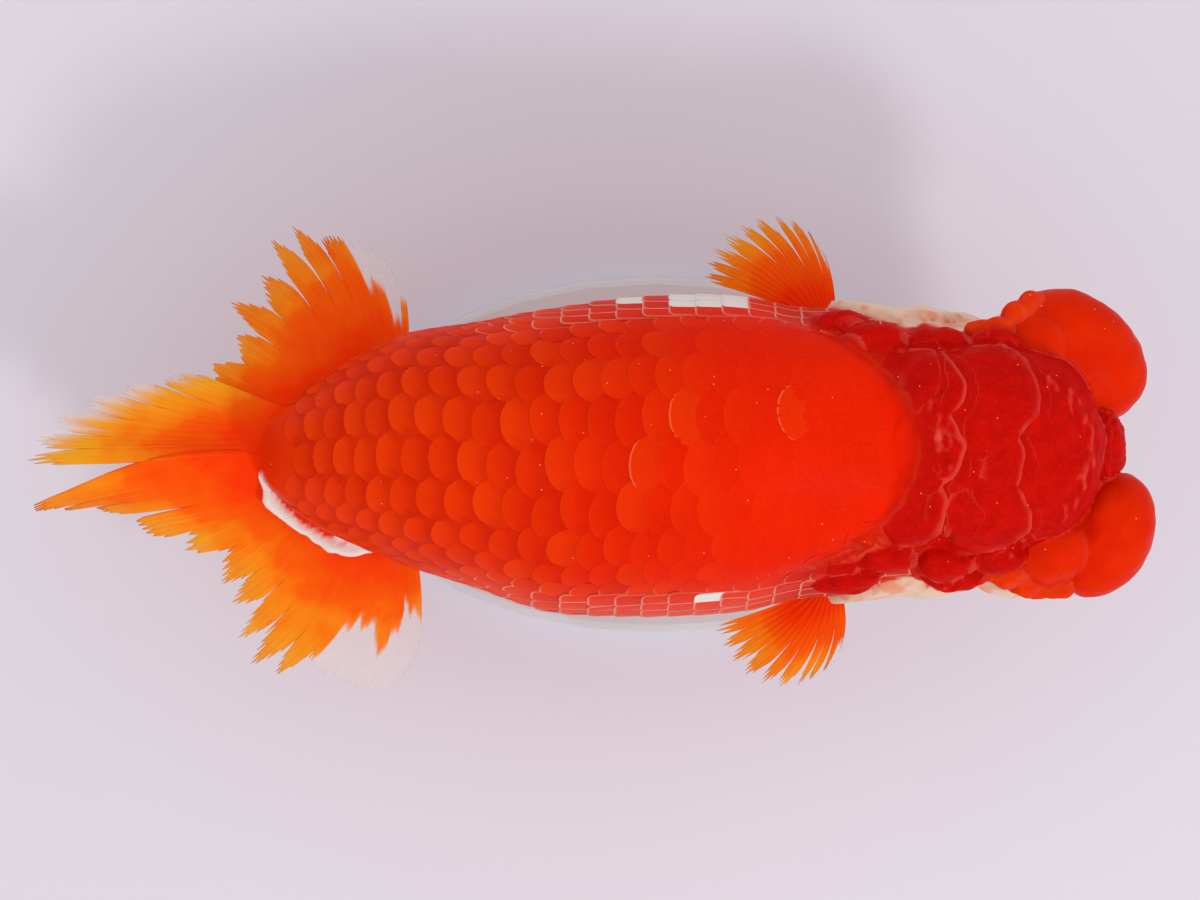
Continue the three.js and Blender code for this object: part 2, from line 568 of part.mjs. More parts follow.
const baseProfile = [
  [0, 0],
  [BASE_HEIGHT - BASE_EDGE, 0],
  [BASE_HEIGHT - 0.3 * BASE_EDGE, 0.3 * BASE_EDGE],
  [BASE_HEIGHT, BASE_EDGE],
];
const base = facingOut(ringSolid(baseProfile.map(([z, inset]) => ovalRing(z, inset))));
addMesh('stand_base', geometryOf(base), materials.stand);

// A rod runs from the base up to the belly and is cut to the belly's shape
for (const [index, name] of ['stand_rod_front', 'stand_rod_rear'].entries()) {
  const rod = new THREE.CylinderGeometry(ROD_RADIUS, ROD_RADIUS, ROD_REACH, 14);
  rod.rotateX(Math.PI / 2);
  rod.translate(ROD_PLACES[index], 0, BASE_HEIGHT + GAP + ROD_REACH / 2);
  addMesh(name, geometryOf(solidOf(rod).subtract(wholeBody)), materials.rod);
}

export default fish;
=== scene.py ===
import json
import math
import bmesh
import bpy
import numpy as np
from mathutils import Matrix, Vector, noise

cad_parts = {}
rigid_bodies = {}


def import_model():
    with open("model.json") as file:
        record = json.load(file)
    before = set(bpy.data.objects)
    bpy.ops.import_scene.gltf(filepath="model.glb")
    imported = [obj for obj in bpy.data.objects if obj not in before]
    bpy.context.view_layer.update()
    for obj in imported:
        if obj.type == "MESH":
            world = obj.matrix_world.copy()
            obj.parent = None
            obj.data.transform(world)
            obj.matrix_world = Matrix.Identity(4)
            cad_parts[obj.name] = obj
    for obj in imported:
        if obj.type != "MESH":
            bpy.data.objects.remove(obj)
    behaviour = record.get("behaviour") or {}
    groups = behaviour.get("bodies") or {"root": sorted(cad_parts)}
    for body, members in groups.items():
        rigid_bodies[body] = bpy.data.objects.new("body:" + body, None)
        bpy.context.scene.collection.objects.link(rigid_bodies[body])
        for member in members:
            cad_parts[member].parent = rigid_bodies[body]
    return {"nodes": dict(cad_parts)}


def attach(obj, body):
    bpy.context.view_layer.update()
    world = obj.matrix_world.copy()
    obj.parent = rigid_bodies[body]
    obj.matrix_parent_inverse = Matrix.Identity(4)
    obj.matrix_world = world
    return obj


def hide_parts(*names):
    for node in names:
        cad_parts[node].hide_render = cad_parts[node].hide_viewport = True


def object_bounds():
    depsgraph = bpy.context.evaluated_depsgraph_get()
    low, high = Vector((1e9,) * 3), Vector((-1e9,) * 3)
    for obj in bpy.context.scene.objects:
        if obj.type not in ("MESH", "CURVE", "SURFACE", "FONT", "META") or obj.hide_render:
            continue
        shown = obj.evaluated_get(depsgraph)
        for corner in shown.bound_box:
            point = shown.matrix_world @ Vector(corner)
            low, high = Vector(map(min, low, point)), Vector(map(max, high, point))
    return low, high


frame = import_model()

# %% [markdown]
# # A ranchu goldfish as a museum model
#
# A ranchu is a round-bodied goldfish without a back fin. Its head wears a raspberry-like growth,
# its tail is double and spread, and overlapping scales cover the trunk.
#
# The packed solids give the true sizes. This lesson lays over them what they leave out: one
# skin over all the flesh, a coat of scales on it, fins with branching rays, and wet, glassy eyes.
# Blender works in metres. The fish is small, so sizes are written in millimetres and
# turned into metres where a mesh is made.

MM = 0.001
RANDOM = np.random.default_rng(7)
cad_low, cad_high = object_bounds()
cad_box = [list(cad_low), list(cad_high)]
print("solid model, mm:", [round(1000 * (h - l), 1) for l, h in zip(*cad_box)])

# %% [markdown]
# ## From arrays to meshes
#
# Much of this fish repeats by a rule: hundreds of scales and fin rays. Rules are easiest to write
# on whole arrays of points, so the pieces are made with numpy and handed to Blender in one go.
# A finish often needs to know where on the fish it lies, so each point may also carry named
# numbers, which a material reads as attributes.

# %% A mesh from arrays
def add_numbers(piece, **numbers):
    """Give every point of the piece its value of each named number."""
    for key, values in numbers.items():
        layer = piece.data.attributes.new(key, "FLOAT", "POINT")
        layer.data.foreach_set("value", np.asarray(values, dtype=np.float32))


def shade_smooth(piece):
    piece.data.polygons.foreach_set("use_smooth", [True] * len(piece.data.polygons))


def new_piece(name, points, faces, **numbers):
    """A mesh object from points in millimetres, with named numbers at its points."""
    mesh = bpy.data.meshes.new(name)
    mesh.from_pydata((np.asarray(points) * MM).tolist(), [], faces)
    mesh.validate()
    piece = bpy.data.objects.new(name, mesh)
    bpy.context.scene.collection.objects.link(piece)
    add_numbers(piece, **numbers)
    shade_smooth(piece)
    return piece


# %% [markdown]
# Later steps read the points of a piece back, move them, weld parts that touch, or build the
# four-sided faces of a tube of rings.

# %% Reading, moving and welding points
def get_points(piece):
    """The piece's points in millimetres."""
    flat = np.empty(3 * len(piece.data.vertices), dtype=np.float32)
    piece.data.vertices.foreach_get("co", flat)
    return flat.reshape(-1, 3).astype(float) / MM


def set_points(piece, points):
    piece.data.vertices.foreach_set("co", (points * MM).astype(np.float32).ravel())
    piece.data.update()


def weld(piece, distance_mm):
    """Join points that lie together, and let all faces look outwards."""
    bm = bmesh.new()
    bm.from_mesh(piece.data)
    bmesh.ops.remove_doubles(bm, verts=bm.verts, dist=distance_mm * MM)
    bmesh.ops.recalc_face_normals(bm, faces=bm.faces)
    bm.to_mesh(piece.data)
    bm.free()


def bands(rings, around):
    """Four-sided faces between rings of points that follow each other."""
    faces = []
    for r in range(rings - 1):
        for s in range(around):
            a, b = r * around + s, r * around + (s + 1) % around
            faces.append((a, b, b + around, a + around))
    return faces


print("two bands of eight faces:", len(bands(3, 8)))

# %% [markdown]
# Three small rules are used everywhere: a soft step from 0 to 1, a reading between the points of a
# grid, and the turn of a point about an upright axis.

# %% Small rules
def smoothstep(low, high, value):
    t = np.clip((value - low) / (high - low), 0, 1)
    return t * t * (3 - 2 * t)


def read_grid(tables, i, j):
    """Values between the points of a grid, at the broken places i and j."""
    i, j = np.clip(i, 0, tables.shape[-2] - 1.001), np.clip(j, 0, tables.shape[-1] - 1.001)
    i0, j0 = i.astype(int), j.astype(int)
    fi, fj = i - i0, j - j0
    near = tables[..., i0, j0] * (1 - fj) + tables[..., i0, j0 + 1] * fj
    far = tables[..., i0 + 1, j0] * (1 - fj) + tables[..., i0 + 1, j0 + 1] * fj
    return near * (1 - fi) + far * fi


def turned_about(points, centre, degrees):
    """The points as a shape sees them that is turned about its upright axis."""
    c, s = math.cos(math.radians(degrees)), math.sin(math.radians(degrees))
    dx, dy = points[:, 0] - centre[0], points[:, 1] - centre[1]
    return np.column_stack([centre[0] + dx * c + dy * s, centre[1] + dy * c - dx * s, points[:, 2]])


print("a quarter of the way a soft step has climbed to", float(smoothstep(0, 1, 0.25)))


# %% [markdown]
# ## The body as a loft
#
# A fish's trunk is a row of egg-shaped sections whose width, top and belly line change
# smoothly from tail to snout. The same few sections shape the solid model. Here they become a
# function that gives a point for any place along and round the body, as the scales need it.

# %% Sections of the body
# x, half width, top, height of the widest line, bottom, sideways bend of the midline
SECTIONS = np.array([
    [-64.2, 2.9, 63.0, 58.0, 53.0, 0.6],
    [-62.6, 5.8, 66.4, 58.0, 49.8, 0.3],
    [-60.0, 8.4, 69.8, 58.0, 47.6, 0.1],
    [-55.0, 12.0, 75.4, 58.4, 45.8, 0.2],
    [-49.0, 15.4, 81.0, 59.4, 44.4, 0.7],
    [-41.0, 18.9, 86.6, 60.6, 41.8, 0.9],
    [-30.0, 21.5, 91.6, 62.0, 38.2, 0.1],
    [-18.0, 24.4, 94.8, 63.0, 34.9, -0.8],
    [-5.0, 25.7, 96.8, 63.0, 33.2, -0.3],
    [8.0, 25.6, 97.2, 63.0, 33.4, 0.1],
    [20.0, 24.3, 96.0, 63.0, 35.6, 0.3],
    [30.0, 23.7, 93.6, 63.0, 38.8, 0.5],
    [40.0, 22.2, 90.4, 63.5, 42.4, 0.5],
    [50.0, 20.0, 87.4, 64.0, 44.6, 0.2],
    [58.0, 17.6, 84.0, 64.0, 46.4, 0.6],
    [65.0, 14.2, 79.4, 63.0, 48.8, 1.0],
    [70.0, 9.8, 73.6, 61.5, 52.0, 1.3],
    [72.5, 5.6, 68.4, 60.5, 55.6, 1.4],
])
SQUARENESS = 2.0  # of the sections; 2 is an ellipse
print("body from", SECTIONS[0, 0], "to", SECTIONS[-1, 0], "mm")

# %% [markdown]
# Straight lines between the sections would leave corners on the back. Each measure follows a
# cubic curve instead, whose slope at a section is the one between its two neighbours.

# %% Smooth values between sections
def between(rows, place):
    """Smooth values between the rows of a table whose first column is the place."""
    last = len(rows) - 1
    k = np.clip(np.searchsorted(rows[:, 0], place, side="left") - 1, 0, last - 1)
    before, start = rows[np.maximum(k - 1, 0)], rows[k]
    end, after = rows[k + 1], rows[np.minimum(k + 2, last)]
    span = (end - start)[:, :1]
    t = np.clip((np.asarray(place) - start[:, 0]) / span[:, 0], 0, 1)[:, None]
    slope_in = span * (end - before) / (end - before)[:, :1]
    slope_out = span * (after - start) / (after - start)[:, :1]
    rise = end - start
    bend, twist = 3 * rise - 2 * slope_in - slope_out, slope_in + slope_out - 2 * rise
    values = start + t * (slope_in + t * (bend + t * twist))
    return values[:, 1:]


print("half width at the middle:", round(float(between(SECTIONS, np.zeros(1))[0, 0]), 1), "mm")

# %% [markdown]
# A place round the body is an angle: 0 at the widest line of the left side, a quarter turn on
# the ridge of the back. The swell lifts a point off the body or sinks it in, which later gives the
# skin its depth and each scale its tilt.

# %% A point on the body
def body_point(x, angle, swell):
    """A point on the body at x, at an angle up from the widest line, a swell outside it."""
    wide_half, top, wide, bottom, sway = between(SECTIONS, x).T
    power = 2 / SQUARENESS
    across, up = np.cos(angle), np.sin(angle)
    height = np.where(up > 0, top - wide, wide - bottom) + swell
    y = (wide_half + swell) * np.sign(across) * np.abs(across) ** power
    z = wide + height * np.sign(up) * np.abs(up) ** power
    return np.stack([x, sway + y, z], axis=-1)


ridge = body_point(np.zeros(1), np.array([np.pi / 2]), 0)[0]
print("ridge of the back at the middle:", [round(float(v), 1) for v in ridge], "mm")

# %% [markdown]
# ## The growth on the head
#
# The growth is a heap of soft cushions that press against each other and overlap, with a crease
# wherever two meet. Instead of joining meshes and hiding the seams, the whole head is written as
# one distance field: the smallest of the distances to all cushions and to the body. The skin
# is then wherever that distance is zero.
#
# The side cushions are eggs with squared-off outlines. Each is written as a centre and three half
# sizes, so a lobe is moved or swollen by one number.

# %% Side cushions: centre, half sizes, kind
LOBES = {
    "temple_left_rear": ((33.4, 17.6, 79.2), (5.8, 3.2, 4.8), "temple"),
    "temple_left": ((43.0, 16.9, 78.0), (6.2, 3.4, 5.4), "temple"),
    "brow_left": ((52.0, 16.4, 77.6), (4.6, 3.5, 5.0), "temple"),
    "brow_left_low": ((52.0, 19.6, 73.6), (4.4, 2.4, 2.6), "brow"),
    "brow_left_front": ((55.8, 21.6, 71.8), (2.5, 2.4, 2.4), "brow"),
    "lid_left": ((58.8, 22.3, 71.0), (2.8, 3.3, 2.6), "brow"),
    "puff_left": ((65.9, 15.8, 66.5), (12.2, 9.3, 10.2), "puff"),
    "puff_left_rear": ((60.6, 16.6, 70.4), (6.2, 6.0, 6.6), "puff"),
    "puff_right": ((70.4, -12.8, 66.0), (10.5, 7.6, 10.2), "puff"),
    "puff_right_rear": ((61.3, -15.0, 73.4), (5.9, 5.4, 6.2), "puff"),
    "snout": ((69.2, 1.5, 69.8), (4.2, 5.8, 8.6), "snout"),
    "temple_right_rear": ((35.0, -15.6, 79.4), (5.6, 2.9, 4.8), "temple"),
    "temple_right": ((44.6, -16.2, 78.0), (5.0, 3.8, 5.6), "temple"),
    "temple_right_low": ((46.2, -19.2, 74.6), (5.2, 2.5, 3.2), "temple"),
    "brow_right": ((52.6, -15.4, 77.6), (4.6, 3.4, 5.0), "temple"),
    "brow_right_low": ((54.2, -18.0, 73.6), (4.8, 2.6, 2.8), "brow"),
    "brow_right_front": ((57.6, -20.2, 71.4), (2.8, 2.3, 2.5), "brow"),
    "lid_right": ((61.4, -20.6, 70.4), (3.8, 2.6, 2.8), "brow"),
    "shoulder_left": ((28.0, 20.2, 75.6), (5.6, 2.5, 4.8), "temple"),
    "shoulder_right": ((28.8, -19.4, 75.6), (5.6, 2.5, 4.8), "temple"),
    "knot_left": ((29.6, 16.6, 82.0), (2.6, 2.4, 2.8), "temple"),
    "knot_right": ((27.8, -17.0, 80.6), (3.0, 2.0, 2.6), "temple"),
    "cheek_left": ((57.6, 15.2, 55.8), (8.6, 7.6, 6.8), "cheek"),
    "cheek_right": ((57.0, -15.4, 55.6), (9.0, 7.4, 6.8), "cheek"),
    "jowl_left": ((47.4, 15.6, 59.8), (7.2, 7.2, 10.2), "cheek"),
    "jowl_right": ((47.6, -15.2, 60.0), (6.8, 6.4, 10.2), "cheek"),
    "upper_lip": ((70.6, 1.5, 60.8), (3.2, 5.0, 2.4), "lip"),
    "lower_jaw": ((68.4, 1.5, 55.2), (4.6, 5.4, 3.6), "lip"),
}
TURNS = {"puff_left": -40, "puff_right": 62}  # the puffs lie aslant, in degrees from the long axis
# How square a cushion is: seen from above, and from the side
KINDS = {"temple": (2.2, 2.3), "brow": (2.2, 2.3), "puff": (2.0, 2.3), "snout": (2.3, 2.6),
         "cheek": (2.1, 2.3), "lip": (2.2, 2.2)}
# How far noise bends a cushion out of shape, mm
UNEVEN = {"temple": 0.8, "brow": 1.0, "puff": 0.35, "snout": 0.5, "cheek": 0.6, "lip": 0.3}
EYES = {"eye_left": (54.2, 17.4, 65.8), "eye_right": (54.6, -17.2, 65.6)}
EYE_RADIUS = 4.5
print(len(LOBES), "side cushions")

# %% [markdown]
# The crown itself is one low dome divided into pillows. Seen from above each pillow is a squared
# oval. It tilts, so that its front edge stands above the next pillow's rear, like petals, and
# it narrows below its rim, so that from the side the crown hangs over the cheeks a little.

# %% Pillows of the crown: centre and half sizes from above, turn, height over the dome, rounding
CROWN = {
    "nape_left": ((37.8, 11.4), (5.4, 5.8), -8, 0.35, 1.7),
    "nape_bud": ((41.9, 10.5), (4.9, 5.3), -10, 0.42, 1.6),
    "nape_middle": ((40.4, 1.0), (6.0, 6.6), 0, 0.2, 1.7),
    "nape_right": ((38.6, -8.6), (5.8, 5.7), 8, 0.4, 1.6),
    "nape_slip": ((44.6, -8.0), (3.0, 4.8), -8, -0.05, 1.3),
    "crown_left": ((49.6, 9.1), (8.8, 8.0), -6, 0.35, 1.7),
    "crown_middle": ((49.4, -1.4), (7.2, 6.2), 0, -0.1, 1.6),
    "crown_right": ((50.2, -9.4), (6.7, 6.1), 6, 0.25, 1.6),
    "crown_front": ((59.2, 1.4), (10.0, 14.6), -3, 0.0, 1.9),
}
CROWN_SQUARENESS, CROWN_TILT = 2.35, 0.075
CAP_CENTRE, CAP_HALF, CAP_SQUARENESS = np.array([47.0, 0.8, 72.0]), np.array([23.4, 18.7, 22.2]), (2.4, 2.25)
CAP_CORE = 1.6  # creases between pillows go no deeper than this
DRAW_IN, DRAW_FROM = 0.5, 2.6  # how fast a pillow narrows, from this depth on
print(len(CROWN), "pillows")

# %% [markdown]
# Living growth is never regular, so soft noise bends all outlines and swells the tops. The noise
# is asked for again and again at nearly the same places. It is worked out once on a fine grid,
# and later calls read between the grid's points, which is much faster.

# %% Soft noise in tables
def wobble(points, size, seed):
    """Soft noise from -1 to 1 with patches of that size in millimetres."""
    shift = Vector((seed, -seed, 2.0 * seed))
    return np.array([noise.noise(Vector(p) / size + shift) for p in points])


def noise_table(low, high, cell, layers):
    """A function that reads noise from a table, with a value for each layer of (height, size, seed)."""
    xs, ys = np.arange(low[0], high[0], cell), np.arange(low[1], high[1], cell)
    spots = np.stack([*np.meshgrid(xs, ys, indexing="ij"), np.zeros((len(xs), len(ys)))], -1).reshape(-1, 3)
    tables = np.array([sum(h * wobble(spots, size, seed) for h, size, seed in layer) for layer in layers])
    tables = tables.reshape(len(layers), len(xs), len(ys))

    def read(x, y):
        return read_grid(tables, (x - low[0]) / cell, (y - low[1]) / cell)

    return read


# For the crown: the bend along, the bend across and the swell
crown_noise = noise_table((27, -20), (74, 22), 0.25, [
    [(1.3, 6.5, 3.0), (0.42, 2.6, 4.0)],
    [(1.3, 6.5, 8.0), (0.42, 2.6, 9.0)],
    [(0.60, 5.0, 5.0), (0.30, 2.2, 6.0)],
])
# Read at places that lean with the height, this one also varies on steep sides
cushion_noise = noise_table((40, 0), (132, 92), 0.4, [
    [(1.0, 5.0, seed), (0.5, 2.2, seed + 1)] for seed in (31.0, 35.0, 39.0)])


def uneven(points):
    """How far the noise pushes each point along, across and up."""
    x, y, z = points.T
    return cushion_noise(x + 0.5 * z, y + 0.6 * z).T


push = uneven(np.array([[50.0, 16.0, 75.0]]))[0]
print("push at the left temple:", [round(float(v), 2) for v in push], "mm")

# %% [markdown]
# The coat of scales needs room: under it the skin lies deeper than the solid's surface. The coat
# is thick on the rear half and thin on the smooth shoulders, and it ends where the growth starts.

# %% Depth of the coat, and the gill plates
COAT_DEPTH = 0.95  # on the rear half, mm
SHOULDER_COAT = 0.26  # where the back runs up to the growth
LAST_SCALE = 30.0  # ahead of this the dome of the back is bare skin
SKIN_MARGIN = 0.12  # the skin of the head lies this far inside the solids
GILL_PLATE = 1.6  # how far a gill plate stands out
GILL_CENTRE, GILL_HALF = (38.0, 58.5), (11.4, 15.0)  # from the side: along and up
TAIL_ROUND = 2.4  # rounding of the rear end of the tail stalk
DOME_STEP = 1.1  # the shoulders lie this far under the dome of the back


def coat_depth(x):
    on_trunk = COAT_DEPTH + (SHOULDER_COAT - COAT_DEPTH) * smoothstep(-14, 24, x)
    return on_trunk + (SKIN_MARGIN - on_trunk) * smoothstep(LAST_SCALE - 4, LAST_SCALE + 4, x)


print("coat on the rear half", COAT_DEPTH, "mm, on the shoulder", SHOULDER_COAT, "mm")

# %% [markdown]
# Shape and colour ask for the same regions of the body, so each is a small function: the flank,
# the smooth dome of the back, the lower shoulders beside it, and the gill plates.

# %% Regions of the body
def flank_share(points):
    """1 low on the flank, 0 on the back and towards the tail."""
    x, _, z = points.T
    _, top, wide, _, _ = between(SECTIONS, np.clip(x, SECTIONS[0, 0], SECTIONS[-1, 0])).T
    return (1 - smoothstep(0.30, 0.72, (z - wide) / (top - wide))) * smoothstep(-44, -20, x)


def from_dome(x, y):
    """0 on the middle line of the back's smooth dome, 1 on its outline."""
    return np.hypot((np.maximum(x, 5.0) - 5.0) / 33.5, (y - 1.5) / 21.5)


def beside_dome(x, y):
    """0 on the dome of the back, 1 on the shoulders beside and before it."""
    return smoothstep(0.97, 1.05, from_dome(x, y)) * smoothstep(13, 24, x)


def gill_outline(points):
    """0 at the middle of a gill plate, 1 on its outline."""
    x, y, z = points.T
    plate = np.hypot((x - GILL_CENTRE[0]) / GILL_HALF[0], (z - GILL_CENTRE[1]) / GILL_HALF[1])
    return np.where(np.abs(y) > 8, plate, 9.0)


print("gill plates", [2 * half for half in GILL_HALF], "mm")

# %% [markdown]
# An exact distance to a squared egg has no formula. A good estimate near the surface is how far
# the point is past it in the egg's own terms, divided by how fast that grows per millimetre.

# %% Distance to the trunk
def body_distance(points):
    x, y, z = points.T
    inside_x = np.clip(x, SECTIONS[0, 0], SECTIONS[-1, 0])
    wide_half, top, wide, bottom, sway = between(SECTIONS, inside_x).T
    sink = np.where(x < 40, coat_depth(x), SKIN_MARGIN)
    sink = sink + DOME_STEP * beside_dome(x, y) * (1 - smoothstep(38, 42, x))
    sink = sink - GILL_PLATE * (1 - smoothstep(0.95, 1.0, gill_outline(points)))
    wide_half = wide_half - sink
    height = np.where(z > wide, top - wide, wide - bottom) - sink
    sideways, upward = np.abs(y - sway) / wide_half, np.abs(z - wide) / height
    reach = (sideways**SQUARENESS + upward**SQUARENESS) ** (1 / SQUARENESS) + 1e-9
    steep_y = (sideways / reach) ** (SQUARENESS - 1) / wide_half
    steep_z = (upward / reach) ** (SQUARENESS - 1) / height
    ring = (reach - 1) / np.hypot(steep_y, steep_z)
    end = np.maximum(SECTIONS[0, 0] - x, x - SECTIONS[-1, 0])
    corner = np.hypot(np.maximum(ring + TAIL_ROUND, 0), np.maximum(end + TAIL_ROUND, 0)) - TAIL_ROUND
    return corner + np.minimum(np.maximum(ring, end) + TAIL_ROUND, 0)


below = body_distance(np.array([[0.0, 0.0, 60.0]]))[0]
print("the middle of the body lies", round(-float(below), 1), "mm under the skin")

# %% [markdown]
# A cushion of the growth is such an egg. A pillow of the crown is a squared oval seen from above,
# cut off by the dome it lies on, and the edge between its side and its top is rounded.

# %% Distances to cushions and pillows
def cushion_distance(points, centre, half, squareness=(2.0, 2.0)):
    """Distance to an egg whose outlines may be squared off."""
    plan, side = squareness
    offset = np.abs((points - centre) / half) + 1e-9
    flat = (offset[:, 0]**plan + offset[:, 1]**plan) ** (1 / plan)
    far = (flat**side + offset[:, 2]**side) ** (1 / side)
    outward = (flat / far) ** (side - 1)
    steep_x = outward * (offset[:, 0] / flat) ** (plan - 1) / half[0]
    steep_y = outward * (offset[:, 1] / flat) ** (plan - 1) / half[1]
    steep_z = (offset[:, 2] / far) ** (side - 1) / half[2]
    return (far - 1) / np.sqrt(steep_x**2 + steep_y**2 + steep_z**2)


def crown_parts(points):
    """For each pillow the distance to it, how far outside its outline and how far above its top."""
    cap = cushion_distance(points, CAP_CENTRE, CAP_HALF, CAP_SQUARENESS)
    bend_x, bend_y, swell = crown_noise(points[:, 0], points[:, 1])
    settled = smoothstep(33, 40, points[:, 0])
    distances, outside, over = [], [], []
    for (cx, cy), (hx, hy), turn, height, rounding in CROWN.values():
        dx, dy = points[:, 0] + bend_x - cx, points[:, 1] + bend_y - cy
        c, s = math.cos(math.radians(turn)), math.sin(math.radians(turn))
        u, v = np.abs(dx * c + dy * s) / hx + 1e-9, np.abs(dy * c - dx * s) / hy + 1e-9
        far = (u**CROWN_SQUARENESS + v**CROWN_SQUARENESS) ** (1 / CROWN_SQUARENESS)
        power = CROWN_SQUARENESS - 1
        flat = (far - 1) / np.hypot((u / far) ** power / hx, (v / far) ** power / hy)
        above = cap + SKIN_MARGIN - swell - (height + CROWN_TILT * (points[:, 0] - cx)) * settled
        beyond = flat + DRAW_IN * np.maximum(-above - DRAW_FROM, 0)
        a, b = beyond + rounding, above + rounding
        corner = np.hypot(np.maximum(a, 0), np.maximum(b, 0)) - rounding
        distances.append(corner + np.minimum(np.maximum(a, b), 0))
        outside.append(beyond)
        over.append(above)
    distances.append(cap + CAP_CORE)
    outside.append(np.full(len(points), -CAP_CORE))
    over.append(np.zeros(len(points)))
    return np.array(distances).T, np.array(outside).T, np.array(over).T


high = crown_parts(np.array([[50.0, 0.8, 100.0]]))[0].min()
print("a point 100 mm up is", round(float(high), 1), "mm over the crown")

# %% [markdown]
# A few folds are added to the field: a soft ring round each eye, a small flap over each
# nostril, and the pale wavy ridge where the skin ends at the root of the right half of the tail.

# %% Folds
EYE_RING = {"lift": 2.9, "radius": 3.9, "thick": 1.0}  # the lift is outwards from the eye's middle
NOSTRILS = [(71.7, 4.4, 66.6), (71.8, -1.4, 66.6)]
NOSTRIL_FLAP = np.array([1.1, 1.2, 1.1])
RIDGE = [(-63.8, -3.6, 57.4), (-62.9, -5.4, 57.0), (-62.5, -7.4, 56.6), (-61.2, -8.9, 56.2),
         (-59.4, -10.2, 55.8), (-57.9, -11.6, 55.4), (-56.1, -12.5, 55.2), (-54.5, -13.6, 55.0),
         (-52.8, -14.7, 54.8), (-50.9, -15.3, 54.8), (-49.0, -15.3, 54.8), (-47.4, -14.9, 55.0),
         (-45.8, -15.3, 55.2)]
RIDGE_SIZES = [0.4, 0.75, 1.05, 0.9, 0.75, 0.62, 0.5, 0.72, 0.9, 0.85, 0.95, 0.7, 0.3]
RIDGE_UNEVEN = 0.35
RIDGE_TWIG = [(-51.4, -12.9, 55.6), (-49.8, -13.6, 55.4), (-48.0, -14.4, 55.2)]  # a thin second strand
TWIG_SIZES = [0.25, 0.5, 0.5]
RIDGE_BED = [(x + 0.5, y + 1.3, z - 0.8) for x, y, z in RIDGE]  # the red fold that carries the ridge
BED_SIZE = 1.3


def ring_distance(points, centre, radius, thick):
    """Distance to a ring that lies round the sideways axis."""
    x, y, z = (points - centre).T
    return np.hypot(np.hypot(x, z) - radius, y) - thick


def chain_distance(points, chain, sizes):
    """Distance to a string of beads joined by tapered rods."""
    best = np.full(len(points), 1e9)
    for a, b, ra, rb in zip(chain[:-1], chain[1:], sizes[:-1], sizes[1:]):
        a, b = np.array(a), np.array(b)
        t = np.clip((points - a) @ (b - a) / ((b - a) @ (b - a)), 0, 1)
        away = np.linalg.norm(points - a - t[:, None] * (b - a), axis=1)
        best = np.minimum(best, away - ra - t * (rb - ra))
    return best


print("the pale ridge has", len(RIDGE), "beads")

# %% [markdown]
# The field keeps one column for each part, because the colours will ask later which two parts
# meet at a crease. Most parts reach only a small way, so each is worked out just for the points
# near it, and the rest of its column is filled with a large distance.

# %% All parts of the field
LOBE_COUNT = len(LOBES) + len(CROWN) + 1
HEAD_FROM, CROWN_FROM, RIDGE_TO = 20.0, 66.0, -40.0  # no lobe further back or lower, no ridge further ahead
OUT_OF_REACH = 9.0


def field_parts(points):
    """Distances to the body, to every lobe and to every fold, one column each."""
    parts = np.full((len(points), 1 + LOBE_COUNT + len(EYES) + len(NOSTRILS) + 2), OUT_OF_REACH)
    parts[:, 0] = body_distance(points)
    head = np.flatnonzero(points[:, 0] > HEAD_FROM)
    some, column = points[head], 1
    bend = uneven(some)
    for name, (centre, half, kind) in LOBES.items():
        seen = turned_about(some + UNEVEN[kind] * bend, centre, TURNS.get(name, 0))
        half = np.array(half) - SKIN_MARGIN
        parts[head, column] = cushion_distance(seen, np.array(centre), half, KINDS[kind])
        column += 1
    crown = head[some[:, 2] > CROWN_FROM]
    parts[crown, column:column + len(CROWN) + 1] = crown_parts(points[crown])[0]
    column = 1 + LOBE_COUNT
    for centre in EYES.values():
        lift = np.array([0, math.copysign(EYE_RING["lift"], centre[1]), 0])
        middle = np.array(centre) + lift
        parts[head, column] = ring_distance(some, middle, EYE_RING["radius"], EYE_RING["thick"])
        column += 1
    for centre in NOSTRILS:
        parts[head, column] = cushion_distance(some, np.array(centre), NOSTRIL_FLAP)
        column += 1
    tail = points[:, 0] < RIDGE_TO
    parts[tail, -2] = chain_distance(points[tail], RIDGE_BED, [BED_SIZE] * len(RIDGE_BED))
    parts[tail, -1] = np.minimum(chain_distance(points[tail], RIDGE, RIDGE_SIZES),
                                 chain_distance(points[tail], RIDGE_TWIG, TWIG_SIZES))
    parts[tail, -1] += RIDGE_UNEVEN * wobble(points[tail], 1.7, 6.0)
    return parts


print(1 + LOBE_COUNT + len(EYES) + len(NOSTRILS) + 2, "parts in the field")

# %% [markdown]
# Taking the plain least of the parts would leave knife-sharp creases. A logarithm of summed
# exponentials is nearly the same number, but smooth where two parts come close.

# %% The softened field
SOFTNESS = 0.24  # rounding of the creases, mm


def field(points):
    """Distance to the skin: the least of all parts, rounded where two come close."""
    parts = field_parts(points)
    least = parts.min(axis=1)
    return least - SOFTNESS * np.log(np.exp((least[:, None] - parts) / SOFTNESS).sum(axis=1))


print("at the snout's middle:", round(float(field(np.array([LOBES["snout"][0]]))[0]), 1), "mm")

# %% [markdown]
# ## One skin
#
# To turn the field into a mesh, rough eggs and a rough loft are made first, and Blender's voxel
# remesh melts them into one closed surface of even little squares, which are halved on the
# head. Each of its points is then moved along the field's slope until the distance there is
# zero. So the remesh only has to join everything, and the field gives the shape.

